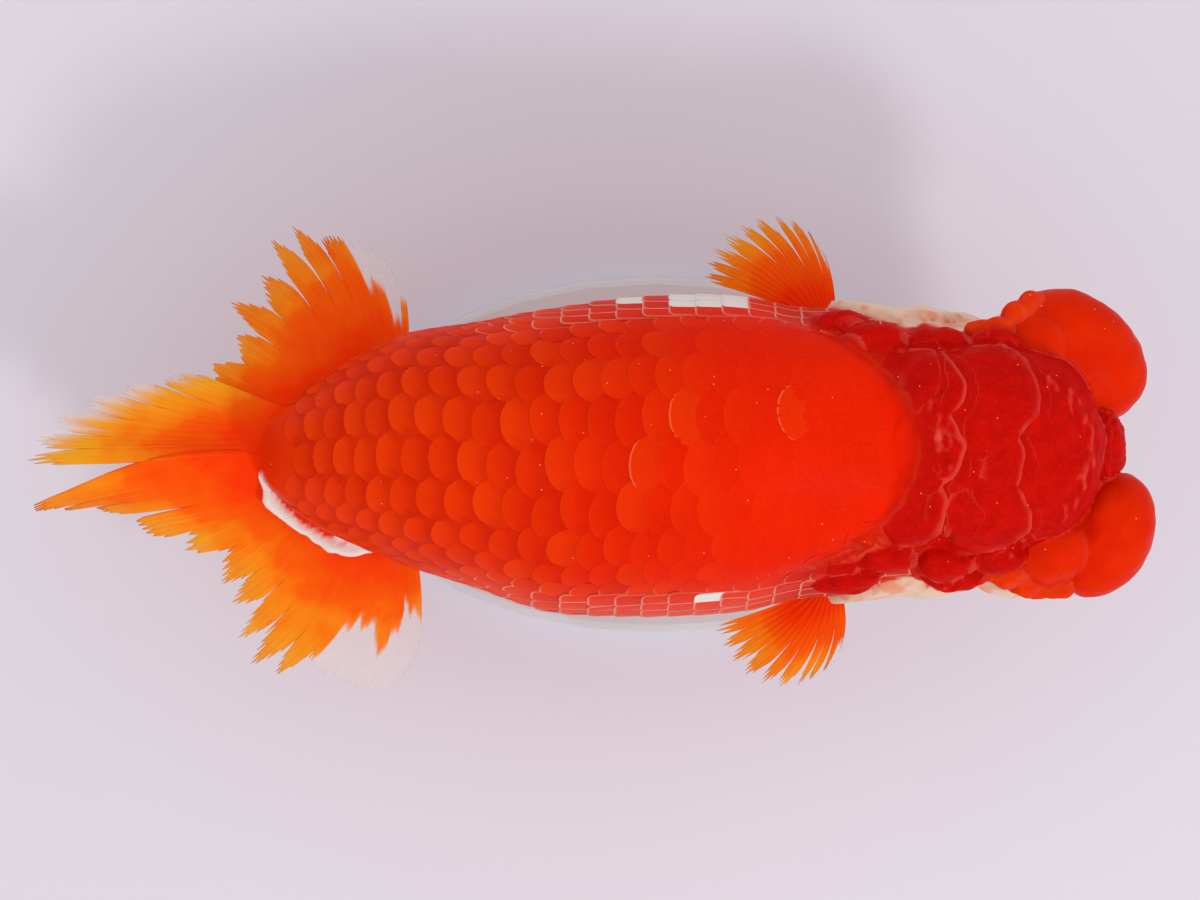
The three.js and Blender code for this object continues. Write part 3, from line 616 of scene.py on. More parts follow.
# %% A rough trunk
def rough_loft(rings=90, around=72):
    xs = np.linspace(SECTIONS[0, 0] + 0.2, SECTIONS[-1, 0], rings)
    angles = np.linspace(0, 2 * np.pi, around, endpoint=False)
    grid = [body_point(np.full(around, x), angles, -coat_depth(x) if x < 40 else 0.0) for x in xs]
    points = np.concatenate(grid + [[grid[0].mean(0), grid[-1].mean(0)]])
    first, last = rings * around, rings * around + 1
    faces = bands(rings, around)
    for s in range(around):
        t = (s + 1) % around
        faces.append((first, t, s))
        faces.append((last, (rings - 1) * around + s, (rings - 1) * around + t))
    return points, faces


shapes = [rough_loft()]
print("rough trunk:", len(shapes[0][1]), "faces")

# %% [markdown]
# The lobes need no more than their places and sizes here: eggs for the cushions, drums for the
# pillows, and strings of small balls for the folds at the tail.

# %% Rough lobes
def rough_egg(centre, half, turn=0):
    bm = bmesh.new()
    bmesh.ops.create_icosphere(bm, subdivisions=4, radius=1)
    points = turned_about(np.array([v.co[:] for v in bm.verts]) * half + centre, centre, -turn)
    faces = [tuple(v.index for v in f.verts) for f in bm.faces]
    bm.free()
    return points, faces


def rough_pillow(centre, half, turn, height, rounding, around=48):
    """A low drum whose lid follows the crown's dome."""
    t = np.linspace(0, 2 * np.pi, around, endpoint=False)
    c, s, power = math.cos(math.radians(turn)), math.sin(math.radians(turn)), 2 / CROWN_SQUARENESS
    u = half[0] * np.sign(np.cos(t)) * np.abs(np.cos(t)) ** power
    v = half[1] * np.sign(np.sin(t)) * np.abs(np.sin(t)) ** power
    curve = np.stack([u * c - v * s, u * s + v * c], axis=1)
    plan, side = CAP_SQUARENESS
    lid_rings = [(1, None), (1, 0.8 * rounding), (0.93, 0.25 * rounding), (0.8, 0.05), (0.5, 0), (0.02, 0)]
    points = []
    for scale, drop in lid_rings:  # share of the outline, and how far under the lid
        ring = np.array(centre) + curve * scale
        offset = np.abs((ring - CAP_CENTRE[:2]) / CAP_HALF[:2])
        reach = (offset[:, 0]**plan + offset[:, 1]**plan) ** (side / plan)
        lid = CAP_CENTRE[2] + CAP_HALF[2] * np.maximum(1 - reach, 0) ** (1 / side)
        lid = lid + height + CROWN_TILT * curve[:, 0] * scale
        height_there = np.full(around, CAP_CENTRE[2] - 4) if drop is None else lid - drop
        points.append(np.column_stack([ring, height_there]))
    faces = bands(len(points), around)
    faces.append(tuple(range(around - 1, -1, -1)))
    faces.append(tuple((len(points) - 1) * around + s for s in range(around)))
    return np.concatenate(points), faces


for name, (centre, half, _) in LOBES.items():
    shapes.append(rough_egg(np.array(centre), np.array(half), TURNS.get(name, 0)))
shapes.append(rough_egg(CAP_CENTRE, CAP_HALF - CAP_CORE))
shapes += [rough_pillow(*pillow) for pillow in CROWN.values()]
shapes += [rough_egg(np.array(centre), np.array([1.2, 1.2, 1.1])) for centre in NOSTRILS]
for chain, thick in ((RIDGE, 0.85), (RIDGE_BED, BED_SIZE), (RIDGE_TWIG, 0.7)):
    for t in np.linspace(0, len(chain) - 1, 4 * len(chain)):
        centre = [np.interp(t, range(len(chain)), axis) for axis in zip(*chain)]
        shapes.append(rough_egg(np.array(centre), np.full(3, thick)))
print(len(shapes), "rough shapes")

# %% [markdown]
# A voxel remesh wraps everything in even squares and drops what lies inside. It could be sculpted
# by hand from here on, but the field gives the same shape each time and keeps its sizes.

# %% Melting them into one surface
def joined(shapes):
    points, faces, start = [], [], 0
    for shape_points, shape_faces in shapes:
        points.append(shape_points)
        faces += [tuple(i + start for i in face) for face in shape_faces]
        start += len(shape_points)
    return np.concatenate(points), faces


VOXEL = 0.66  # side of the skin's little squares, mm; half of it on the head
skin = new_piece("skin", *joined(shapes))
remesh = skin.modifiers.new("one surface", "REMESH")
remesh.mode = "VOXEL"
remesh.voxel_size = VOXEL * MM
bpy.context.view_layer.update()
melted = bpy.data.meshes.new_from_object(skin.evaluated_get(bpy.context.evaluated_depsgraph_get()))
skin.modifiers.clear()
skin.data = melted
print("melted:", len(skin.data.vertices), "points")

# %% [markdown]
# The creases of the growth need smaller squares than the trunk. Every edge of the head is cut in
# two, with new edges across each square, and only the odd faces where fine meets coarse
# become triangles.

# %% Finer squares on the head
FINE_FROM = 25.0
bm = bmesh.new()
bm.from_mesh(skin.data)
head_edges = [e for e in bm.edges if min(v.co.x for v in e.verts) > FINE_FROM * MM]
bmesh.ops.subdivide_edges(bm, edges=head_edges, cuts=1, use_grid_fill=True)
bmesh.ops.triangulate(bm, faces=[f for f in bm.faces if len(f.verts) > 4])
bm.to_mesh(skin.data)
bm.free()
print("skin:", len(skin.data.vertices), "points,", len(skin.data.polygons), "faces")

# %% [markdown]
# Moving a point straight onto the surface is one step of Newton's method: divide the distance
# by the slope and step that far downhill. Three steps are plenty on the trunk, and the head gets
# four more. The slope is also the direction in which the skin faces, which the fine relief
# uses next.

# %% Pulling the skin onto the field
STEP = 0.02
FARTHEST = 0.6  # no point is moved further than this in one step, mm


def slope(points):
    steps = np.eye(3) * STEP
    return np.stack([field(points + s) - field(points - s) for s in steps], axis=1) / (2 * STEP)


def settle(points, rounds=3):
    for _ in range(rounds):
        grade = slope(points)
        move = field(points)[:, None] * grade / (np.sum(grade**2, axis=1)[:, None] + 1e-6)
        points = points - np.clip(move, -FARTHEST, FARTHEST)
    return points


skin_points = settle(get_points(skin))
on_head = skin_points[:, 0] > HEAD_FROM
skin_points[on_head] = settle(skin_points[on_head], 4)
facing = slope(skin_points)
facing /= np.linalg.norm(facing, axis=1)[:, None] + 1e-9
print("left over:", round(float(np.abs(field(skin_points)).max()), 3), "mm")

# %% [markdown]
# ## Markings
#
# The markings are plain rules of place, and the skin and the scales share them, so that the
# colours meet. `growth` is 1 on the growth, `puff` picks its smooth bright lobes, `pale` is the
# cream of the gill covers and cheeks, `white` the uncoloured ridge at the tail's root,
# `crease` tells how deep a point lies in a fold between two cushions, and `border` how far it is
# from the fold: above zero on the upper cushion, which gets a pale rim of painted sheen there,
# and below zero on the lower one, which gets painted shade.
#
# First come the two markings that the scales share with the skin.

# %% Cream cheeks and rippled shoulders
def pale_patch(points):
    """The cream flank of the head, with an uneven upper border."""
    x, y, z = points.T
    border = 74.0 - 5.0 * smoothstep(33, 24, x) - 4.0 * smoothstep(56, 62, x)
    border = border + 2.6 * wobble(points, 3.2, 3.0)
    behind = np.where(x > GILL_CENTRE[0], 0.9, gill_outline(points))
    before = smoothstep(58, 67, x + 2.5 * wobble(points, 4.0, 11.0))
    ahead = (1 - smoothstep(0.97, 1.03, behind)) * (1 - before)
    side = smoothstep(9, 13, np.abs(y))
    return ahead * side * (1 - smoothstep(border - 0.7, border + 0.7, z))


def shoulder_ripple(points):
    """Fine folds that run along the shoulders beside the dome."""
    x, y, z = points.T
    away = 21.5 * (from_dome(x, y) - 1)
    folds = np.sin(away * 2.9 + 2.4 * wobble(points * np.array([0.5, 1, 1]), 3.0, 21.0))
    ripple = smoothstep(0.2, 0.95, folds) * smoothstep(0.2, 1.2, away)
    return ripple * smoothstep(14, 22, x) * smoothstep(68, 74, z)


print("share of skin in cream:", round(float(pale_patch(skin_points).mean()), 2))

# %% [markdown]
# Where two lobes meet, the one that lies on top gets a pale, thin rim of painted sheen. Which one
# is on top is asked of the heights that both would reach there. The distance from the crease
# follows from how fast the gap between the two opens.

# %% Upper and lower side of a crease
def lid_heights(points):
    """How high the body, each cushion and each pillow would stand at the points."""
    lids = [np.full(len(points), -1000.0)]
    for name, (centre, half, kind) in LOBES.items():
        plan, side = KINDS[kind]
        offset = np.abs((turned_about(points, centre, TURNS.get(name, 0)) - centre) / half)
        flat = (offset[:, 0]**plan + offset[:, 1]**plan) ** (1 / plan)
        lids.append(centre[2] + half[2] * (1 - np.minimum(flat, 1) ** side) ** (1 / side))
    over = crown_parts(points)[2]
    over[:, -1] += CAP_CORE
    return np.column_stack(lids + [points[:, 2] - column for column in over.T])


def crease_sides(points, parts):
    """Millimetres to the nearest crease, above zero on the upper lobe and below zero on the lower,
    and how plainly the upper lobe's painted rim sheen shows there: only where it looks forward or outward."""
    first, second = np.argsort(parts[:, :1 + LOBE_COUNT], axis=1)[:, :2].T
    row = np.arange(len(points))
    gap = parts[row, second] - parts[row, first]
    near = np.flatnonzero((gap < 2.0) & (points[:, 0] > HEAD_FROM))
    row, first, second = np.arange(len(near)), first[near], second[near]
    steps = [field_parts(points[near] + step) for step in np.eye(3) * STEP]
    opening = np.array([(step[row, second] - step[row, first] - gap[near]) / STEP for step in steps])
    steep = np.maximum(np.linalg.norm(opening, axis=0), 0.12)
    lids = lid_heights(points[near])
    above = lids[row, first] >= lids[row, second]
    outward = np.where(above, -1, 1) * (opening[0] + 0.55 * np.sign(points[near, 1]) * opening[1]) / steep
    away, shown = np.full(len(points), 3.0), np.zeros(len(points))
    away[near] = np.minimum(gap[near] / steep, 3.0) * np.where(above, 1, -1)
    shown[near] = smoothstep(-0.05, 0.6, outward) * smoothstep(0.3, 0.85, steep)
    return away, shown


skin_border, skin_shown = crease_sides(skin_points, field_parts(skin_points))
print("share of skin beside a crease:", round(float((np.abs(skin_border) < 3.0).mean()), 2))

# %% [markdown]
# The other markings only ask which part of the field is nearest, and how near the second is.

# %% All markings of the skin
lobe_kinds = np.array([kind for _, _, kind in LOBES.values()] + ["crown"] * (len(CROWN) + 1))
RED_KINDS = ["crown", "puff", "brow", "temple", "snout"]  # the cream never runs over these
WHITE_SPOT = (42.4, 2.7)  # a tiny scar on the nape


def marks(points, border, shown):
    parts = field_parts(points)
    lobes = parts[:, 1:1 + LOBE_COUNT]
    order = np.sort(np.concatenate([parts[:, :1], lobes], axis=1), axis=1)
    nearest = np.argmin(lobes, axis=1)
    on_lobe = 1 - smoothstep(-0.2, 0.5, lobes.min(axis=1) - parts[:, 0])
    kind = lobe_kinds[nearest]
    x, y, _ = points.T
    spot = 1 - smoothstep(0.3, 0.9, np.hypot(x - WHITE_SPOT[0], y - WHITE_SPOT[1]))
    dome = np.where(x < 46, smoothstep(0.94, 1.13, from_dome(x, y)), 1)
    pale = pale_patch(points) * np.where(np.isin(kind, RED_KINDS), 1 - on_lobe, 1)
    tight = np.exp(-(order[:, 1] - order[:, 0]) / 0.5)
    return {
        "growth": on_lobe * dome,
        "puff": on_lobe * (kind == "puff"),
        "brow": on_lobe * (kind == "brow"),
        "ripple": shoulder_ripple(points),
        "lip": on_lobe * (kind == "lip"),
        "pale": pale,
        "white": 1 - smoothstep(0.0, 0.5, parts[:, -1]),
        "crease": tight * (parts[:, 0] > order[:, 1] - 0.1),
        "border": border,
        "shown": shown,
        "spot": spot * (points[:, 2] > 85),
    }


skin_marks = marks(skin_points, skin_border, skin_shown)
print("share of skin in growth:", round(float(skin_marks["growth"].mean()), 2))

# %% [markdown]
# ## Relief of the growth
#
# Close up, the crown is cobbled like a raspberry: small swollen cells with fine lines between
# them, and finer pimples on top. Cells come from a Voronoi pattern, whose first two distances
# are equal on the borders. The puffs beside the mouth are stretched smooth, so the relief
# fades there.

# %% Cobbles, pimples and wrinkles
def cobbles(points, size, seed):
    """0 on the borders of cells of that size, near 1 on their tops."""
    shift = Vector((seed, seed, seed))
    gaps = []
    for p in points:
        near = noise.voronoi(Vector(p) / size + shift)[0]
        gaps.append(near[1] - near[0])
    return 1 - np.exp(-5 * np.array(gaps))


sample = cobbles(skin_points[on_head][:500], 3.4, 1.0)
print("cobbles from", round(float(sample.min()), 2), "to", round(float(sample.max()), 2))

# %% [markdown]
# Where the crown ends above the mouth, and where it starts at the nape, the skin is crumpled into
# small irregular ridges.

# %% Crumpled lips of the crown and the nape
def from_crumple(x, y):
    """Millimetres from the crumpled lip of the crown and of the nape."""
    lip = 66.6 - 0.050 * (y - 0.6) ** 2 - x
    nape = np.where((y > -5) & (y < 9), 43.6 - 0.05 * (y - 2.0) ** 2 - x, 9.0)
    return np.where(np.abs(lip) < np.abs(nape), lip, nape)


def crumple(points, numbers):
    """1 along the two lips, fading to 0 beside them, and 0 on the puffs."""
    near = smoothstep(2.6, 0.8, np.abs(from_crumple(points[:, 0], points[:, 1])))
    return numbers["growth"] * (1 - numbers["puff"]) * near


skin_marks["crumple"] = crumple(skin_points, skin_marks) * smoothstep(62, 68, skin_points[:, 2])
print("share of skin crumpled:", round(float(skin_marks["crumple"].mean()), 3))

# %% [markdown]
# All of this together lifts or sinks the skin by a few tenths of a millimetre. It could be a bump
# in the finish alone, but real relief also shows in the outline and throws small shadows.

# %% Relief
def shaped_relief(points, numbers):
    """Millimetres by which the fine relief lifts or sinks each point."""
    rough = numbers["growth"] * (1 - 0.92 * numbers["puff"]) * (1 - 0.5 * numbers["brow"])
    rough = rough * (1 - 0.6 * numbers["pale"]) * (1 - numbers["lip"])
    relief = np.zeros(len(points))
    busy = rough > 0.02
    some = points[busy]
    large = cobbles(some, 3.4, 1.0) - 1
    small = cobbles(some, 1.3, 4.0) - 1
    pimples = wobble(some, 0.8, 9.0)
    relief[busy] = rough[busy] * (0.10 * large + 0.08 * small + 0.05 * pimples)
    x, y, z = points.T
    front = smoothstep(67.5, 70.5, x) * smoothstep(64, 70, z) * (1 - numbers["puff"])
    relief += 0.16 * front * np.sin(5.2 * (x + 0.45 * z) + 1.6 * np.sin(0.8 * y)) * numbers["growth"]
    crumpled = crumple(points, numbers)
    busy = crumpled > 0.02
    along_lip = points[busy] * np.array([1.6, 0.7, 0.7])  # stretched, so the folds run along the lip
    relief[busy] += 0.34 * crumpled[busy] * wobble(along_lip, 1.6, 14.0)
    cover_edge = np.exp(-((gill_outline(points) - 0.62) / 0.035) ** 2) * smoothstep(36, 40, x)
    return relief - 0.28 * cover_edge + 0.22 * numbers["ripple"] * (1 - numbers["growth"])


relief = shaped_relief(skin_points, skin_marks)
set_points(skin, skin_points + facing * relief[:, None])
add_numbers(skin, relief=relief, aside=beside_dome(skin_points[:, 0], skin_points[:, 1]),
            flank=flank_share(skin_points), **skin_marks)
shade_smooth(skin)
print("relief from", round(float(relief.min()), 2), "to", round(float(relief.max()), 2), "mm")

# %% [markdown]
# ## The coat of scales
#
# Scales sit in rows that run from head to tail, and every other row is half a scale further on,
# as on a tiled roof. Each scale is rooted in front, under the one before it, and its rear edge
# stands free. Rows are counted in millimetres down both sides from the ridge of the back.
#
# First a table turns those millimetres round the body into an angle for `body_point`.

# %% Millimetres round the body
TABLE_X = np.linspace(SECTIONS[0, 0], 50, 160)
TABLE_S = np.arange(-110.0, 110.5, 0.5)  # to the left of the ridge is positive
turn = np.radians(np.arange(-90, 271, 1.0))
angle_table, reach_table = [], []
for x in TABLE_X:
    ring = body_point(np.full(len(turn), x), turn, 0)
    walked = np.concatenate([[0], np.cumsum(np.linalg.norm(np.diff(ring, axis=0), axis=1))])
    walked -= np.interp(np.pi / 2, turn, walked)
    angle_table.append(np.interp(-TABLE_S, walked, turn))
    reach_table.append(walked[-1])
angle_table = np.array(angle_table)


def angle_round(x, s):
    """Angle of the point s millimetres to the left of the ridge at x."""
    i = (x - TABLE_X[0]) / (TABLE_X[1] - TABLE_X[0])
    return read_grid(angle_table, i, (s - TABLE_S[0]) / (TABLE_S[1] - TABLE_S[0]))


print("from ridge to keel at mid body:", round(float(np.max(reach_table)), 1), "mm")

# %% [markdown]
# The lattice: columns stand a little over four millimetres apart and close up towards the tail.
# Rows are almost twice as far apart on the back as on the flanks, so the scales of the back are
# tall and narrow. All rows draw together where the body narrows.

# %% Columns and rows
FRONT_COLUMN, REAR_COLUMN = 40.5, -59.0
COLUMN_PITCH = 4.15  # on the front half, mm
MORE_BEHIND, LESS_AT_TAIL = 0.35, 1.2  # the pitch grows behind mid body and shrinks at the tail
columns = [FRONT_COLUMN]
while columns[-1] > REAR_COLUMN:
    wider, closer = smoothstep(-3, -16, columns[-1]), smoothstep(-32, -50, columns[-1])
    columns.append(columns[-1] - (COLUMN_PITCH + MORE_BEHIND * float(wider) - LESS_AT_TAIL * float(closer)))
BACK_ROWS = [0.0, 7.7, 15.1, 21.9, 27.2, 31.3, 35.3, 39.5]  # from the ridge at mid body, mm
FLANK_ROW = 4.2  # between rows further down
ROW_DRIFT = -1.2  # the rows of the back lie a little to the right


def row_middle(k):
    last = len(BACK_ROWS) - 1
    return BACK_ROWS[k] if k <= last else BACK_ROWS[last] + FLANK_ROW * (k - last)


def row_place(row, x):
    """Millimetres from the ridge to the middle of a row, and the room it takes."""
    k = abs(row)
    room = 0.5 * (row_middle(k + 1) - (row_middle(k - 1) if k else -row_middle(1)))
    place = math.copysign(row_middle(k), row) + ROW_DRIFT * (1 - float(smoothstep(15, 30, row_middle(k))))
    girth = np.interp(x, TABLE_X, reach_table) / max(reach_table)
    share = 1 - 0.45 * (1 - girth)
    return place * share, room * share


print(len(columns), "columns,", len(BACK_ROWS), "rows down each side of the back")

# %% [markdown]
# On the back a scale lies half a column behind its neighbours, like a roof tile. On the upper
# flank the shift fades, because there the rows look like courses of bricks from above. Scales
# that would lie under a gill cover or under the growth are left out.

# %% Places of the scales
def brick_share(x, s):
    """1 on the upper flank of the front half, where rows look like bricks, 0 on the back."""
    angle = float(angle_round(np.array([x]), np.array([s]))[0])
    degrees = math.degrees(min(angle, math.pi - angle))
    return float(smoothstep(-6, 8, degrees) * (1 - smoothstep(28, 37, degrees)) * smoothstep(-30, -18, x))


def hidden(points):
    """True under the gill covers and well inside the growth."""
    lobes = field_parts(points)[:, 1:1 + LOBE_COUNT]
    return (lobes.min(axis=1) < -0.6) | (gill_outline(points) < 0.9)


# Each place: rear edge, millimetres from the ridge, column pitch, row pitch, row, point there
scale_places = []
for c in range(len(columns) - 1):
    pitch = columns[c] - columns[c + 1]
    reach = np.interp(columns[c], TABLE_X, reach_table)
    for row in range(-30, 31):
        s, row_pitch = row_place(row, columns[c])
        offset = 0.5 if row % 2 else 0.5 * brick_share(columns[c], s)  # bricks stand one above the other
        x = columns[c] - (offset + 0.04 * math.sin(7.0 * row)) * pitch
        if abs(s) < reach - 0.1 * row_pitch:
            point = body_point(np.array([x]), angle_round(np.array([x]), np.array([s])), -0.3)[0]
            if x < LAST_SCALE or beside_dome(point[0], point[1]) > 0.5:
                scale_places.append((x, s, pitch, row_pitch, row, point))
covered = hidden(np.array([p[5] for p in scale_places]))
scale_places = [p for p, under in zip(scale_places, covered) if not under]
print(len(scale_places), "scales")

# %% [markdown]
# One scale is a small grid, bent over the body, and a rim and a plain underside close it into a
# thin solid plate. Separate plates cast real shadows on each other, which a bump can't do.

# %% The grid of one scale
SCALE_SHARES = np.array([0, 0.3, 0.55, 0.72, 0.84, 0.92, 0.97, 1.0])
SCALE_BREADTHS = np.array([-1, -0.97, -0.86, -0.66, -0.36, 0, 0.36, 0.66, 0.86, 0.97, 1.0])
SCALE_THICK = 0.16
LENS = 0.38  # how far the rear edge swings out in the middle, in lengths of the scale
ALONG, ACROSS = len(SCALE_SHARES), len(SCALE_BREADTHS)
share, breadth = np.meshgrid(SCALE_SHARES, SCALE_BREADTHS, indexing="ij")
rim_path = [(i, 0) for i in range(ALONG)] + [(ALONG - 1, j) for j in range(1, ACROSS)]
rim_path += [(i, ACROSS - 1) for i in range(ALONG - 2, -1, -1)] + [(0, j) for j in range(ACROSS - 2, 0, -1)]
rim = [i * ACROSS + j for i, j in rim_path]
top_count = ALONG * ACROSS
scale_faces = []
for i in range(ALONG - 1):
    for j in range(ACROSS - 1):
        a = i * ACROSS + j
        scale_faces.append((a, a + ACROSS, a + ACROSS + 1, a + 1))
for k in range(len(rim)):
    n = (k + 1) % len(rim)
    scale_faces.append((rim[k], rim[n], top_count + n, top_count + k))
scale_faces.append(tuple(top_count + k for k in range(len(rim) - 1, -1, -1)))
print(len(scale_faces), "faces in a scale")

# %% [markdown]
# On the back a scale is a broad leaf whose rear edge is an arc. On the flank it is squarer. No two
# are quite alike: seeded random draws vary their size, slant and height.

# %% The outline of one scale
SCALE_LENGTH = 2.25  # in column pitches, so more than half of it lies under the next ones
SCALE_HALF = 0.66  # half its width, in row pitches


def rear_arc(b):
    """How far the rear edge has swung back at a share b of the half breadth."""
    return LENS - LENS * np.sqrt(1 - 0.98 * b**2)


def scale_outline(x, s, pitch, row_pitch, brick):
    """Where the points lie on the unrolled body, how far along the scale, its ends and measures."""
    size = RANDOM.uniform(0.93, 1.07)
    length = SCALE_LENGTH * pitch * size
    half = SCALE_HALF * row_pitch * size
    leaf = 1 - rear_arc(breadth)
    tile = 0.90 + 0.10 * np.sqrt(1 - 0.98 * breadth**4)
    end = leaf + (tile - leaf) * brick
    along = share * end
    slant, shift = RANDOM.normal(0, 0.05), RANDOM.normal(0, 0.02)
    gx = x + (1 - along) * length
    gs = s + breadth * half + (slant * along + shift) * length
    return gx, gs, along, end, length, half


print("scales are about", round(SCALE_LENGTH * (columns[0] - columns[1]), 1), "mm long at the shoulder")

# %% [markdown]
# The surface climbs from root to rear edge, so each scale lies on the next. Its free edges round
# down, and beside the edges of the scales that cover it a painted shadow is marked.

# %% The form of one scale
def scale_form(x, s, pitch, row_pitch):
    """Points of one scale's top, how far they are along it, and numbers for its finish."""
    brick = brick_share(x, s)
    gx, gs, along, end, length, half = scale_outline(x, s, pitch, row_pitch, brick)
    rear = float(1 - smoothstep(-34, -12, x))
    open_side = 1 - (1 - brick) * (0.4 + 0.6 * rear)  # on the back only the rear edge is rounded
    gap = np.minimum((end - along) * length, (1 - open_side * np.abs(breadth)) * half)
    edge = np.clip(1 - gap / 0.7, 0, 1)
    rounded = np.clip(1 - gap / (0.8 + 1.0 * rear), 0, 1)
    beside = row_pitch / half - np.abs(breadth)  # the same place in terms of the next row
    beside_arc = np.where(beside < 1, rear_arc(np.minimum(beside, 1)), 1.0)
    cover = np.maximum(1 - pitch / length - rear_arc(breadth), 1 - 0.5 * pitch / length - beside_arc)
    root_sink = 0.35 * (1 - smoothstep(0.0, 0.3, along))
    # The painted shadow lies beside the edges of the covering scales; the ramp runs from there to the free
    # edge, for painted shade.
    groove = 1 - smoothstep(0.0, 0.20, along - cover)
    ramp = np.clip((along - cover) / np.maximum(end - cover, 0.05), 0, 1)
    middle = body_point(np.array([x]), angle_round(np.array([x]), np.array([s])), 0)[0, 1]
    aside = float(beside_dome(np.array(x), middle))
    depth = coat_depth(gx)
    relief = depth * (0.62 - 0.50 * smoothstep(-22, 6, gx) * (1 - aside) * (1 - brick) + 0.4 * aside)
    relief = relief * smoothstep(-63, -55, gx) * RANDOM.uniform(0.92, 1.08) * (1 - 0.33 * rear)
    tilt = -math.copysign(1, s) * breadth * 0.14 * brick
    low_sides = (0.34 - 0.16 * rear) * (1 - brick) * breadth**2
    low_edge = (0.30 + 0.14 * rear - 0.15 * brick) * rounded**2
    lift = along + tilt - low_sides - low_edge
    ring_angle = angle_round(gx, gs)
    surface = body_point(gx.ravel(), ring_angle.ravel(), 0)
    swell = -depth + SCALE_THICK + relief * lift - root_sink
    swell = swell.ravel() - DOME_STEP * beside_dome(surface[:, 0], surface[:, 1])
    shades = {"edge": edge.ravel(), "groove": groove.ravel(), "ramp": ramp.ravel()}
    return gx.ravel(), ring_angle.ravel(), swell, along.ravel(), shades


print("a scale's edge is", SCALE_THICK, "mm thick")

# %% [markdown]
# Every scale also gets its own numbers. `tone` makes one a little lighter than the next, `edge`
# grows towards its free rim, `groove` towards the scales that cover it, for their painted shadow,
# and `ramp` away from them, for the painted shade across the scale. `bare` marks the few scales
# without colour, and `flash` the few that get a painted highlight on their face and edge.

# %% Scales that stand out
# Rows with scales without colour, and the ranges of x in which they lie
BARE_SCALES = {
    6: [(1.0, 13.2)],
    7: [(-7.4, -2.6), (1.0, 13.2)],
    8: [(-7.4, -2.6), (1.0, 13.2)],
    -5: [(5.0, 9.8)],
}
FLASHES = [(-18.5, 4.3), (-6.9, -0.6), (2.2, 6.7), (11.8, 2.2), (18.0, 4.7), (-24.0, -3.0)]
FLASH_REACH = 2.1


def is_bare(row, middle):
    return any(low < middle < high for low, high in BARE_SCALES.get(row, []))


def flashes(x, s):
    return any(math.hypot(x - fx, s - fs) < FLASH_REACH for fx, fs in FLASHES)


bare_count = sum(is_bare(row, x + 0.5 * pitch) for x, _, pitch, _, row, _ in scale_places)
print(bare_count, "scales without colour")

# %% [markdown]
# For a baked copy of the model, each scale is a tiny patch in the map `OFBake`, placed where
# its root lies on the unrolled body, so a scale takes its colour from its own place.

# %% Building the coat
PATCH = 0.003
UNROLLED_LENGTH, UNROLLED_GIRTH = 120, 230  # millimetres of body that the map holds


def add_bake_map(piece, patches):
    layer = piece.data.uv_layers.new(name="OFBake")
    corners = np.empty(len(piece.data.loops), dtype=np.int32)
    piece.data.loops.foreach_get("vertex_index", corners)
    layer.data.foreach_set("uv", patches[corners].astype(np.float32).ravel())


def coat(name, places):
    """The scales of one side as a single mesh."""
    points, faces, patches = [], [], []
    numbers = {"tone": [], "edge": [], "groove": [], "ramp": [], "bare": [], "flash": []}
    for start, (x, s, pitch, row_pitch, row, _) in enumerate(places):
        gx, angle, swell, along, shades = scale_form(x, s, pitch, row_pitch)
        points.append(body_point(gx, angle, swell))
        points.append(body_point(gx[rim], angle[rim], swell[rim] - SCALE_THICK))
        count = top_count + len(rim)
        faces += [tuple(start * count + i for i in face) for face in scale_faces]
        for key, value in shades.items():
            numbers[key].append(np.concatenate([value, value[rim]]))
        whole = {"tone": RANDOM.random(), "bare": is_bare(row, x + 0.5 * pitch), "flash": flashes(x, s)}
        for key, value in whole.items():
            numbers[key].append(np.full(count, float(value)))
        local = np.stack([along, 0.5 + 0.5 * breadth.ravel()], axis=1)
        root = np.array([(x + pitch - SECTIONS[0, 0]) / UNROLLED_LENGTH, 0.5 + s / UNROLLED_GIRTH])
        patches.append(root + PATCH * np.concatenate([local, local[rim]]))
    piece = new_piece(name, np.concatenate(points), faces)
    add_bake_map(piece, np.concatenate(patches))
    numbers = {key: np.concatenate(values) for key, values in numbers.items()}
    where = get_points(piece)
    add_numbers(piece, pale=pale_patch(where), aside=beside_dome(where[:, 0], where[:, 1]),
                flank=flank_share(where), ripple=shoulder_ripple(where), **numbers)
    return piece


scale_pieces = [coat("scales_left", [p for p in scale_places if p[1] >= 0]),
                coat("scales_right", [p for p in scale_places if p[1] < 0])]
for piece in scale_pieces:
    print(piece.name, len(piece.data.polygons), "faces")

# %% [markdown]
# ## Fins
#
# A goldfish fin is a fan of bony rays that fork again and again towards the edge, with a thin web
# between them. The web splits in places, and it has lost its colour where it is newest. Each
# fin is written as a few rays bent from root to tip, and a smooth sheet runs through them.
# The sheet is cut into segments at the splits. Ridges that double in number stand for
# the forking rays.

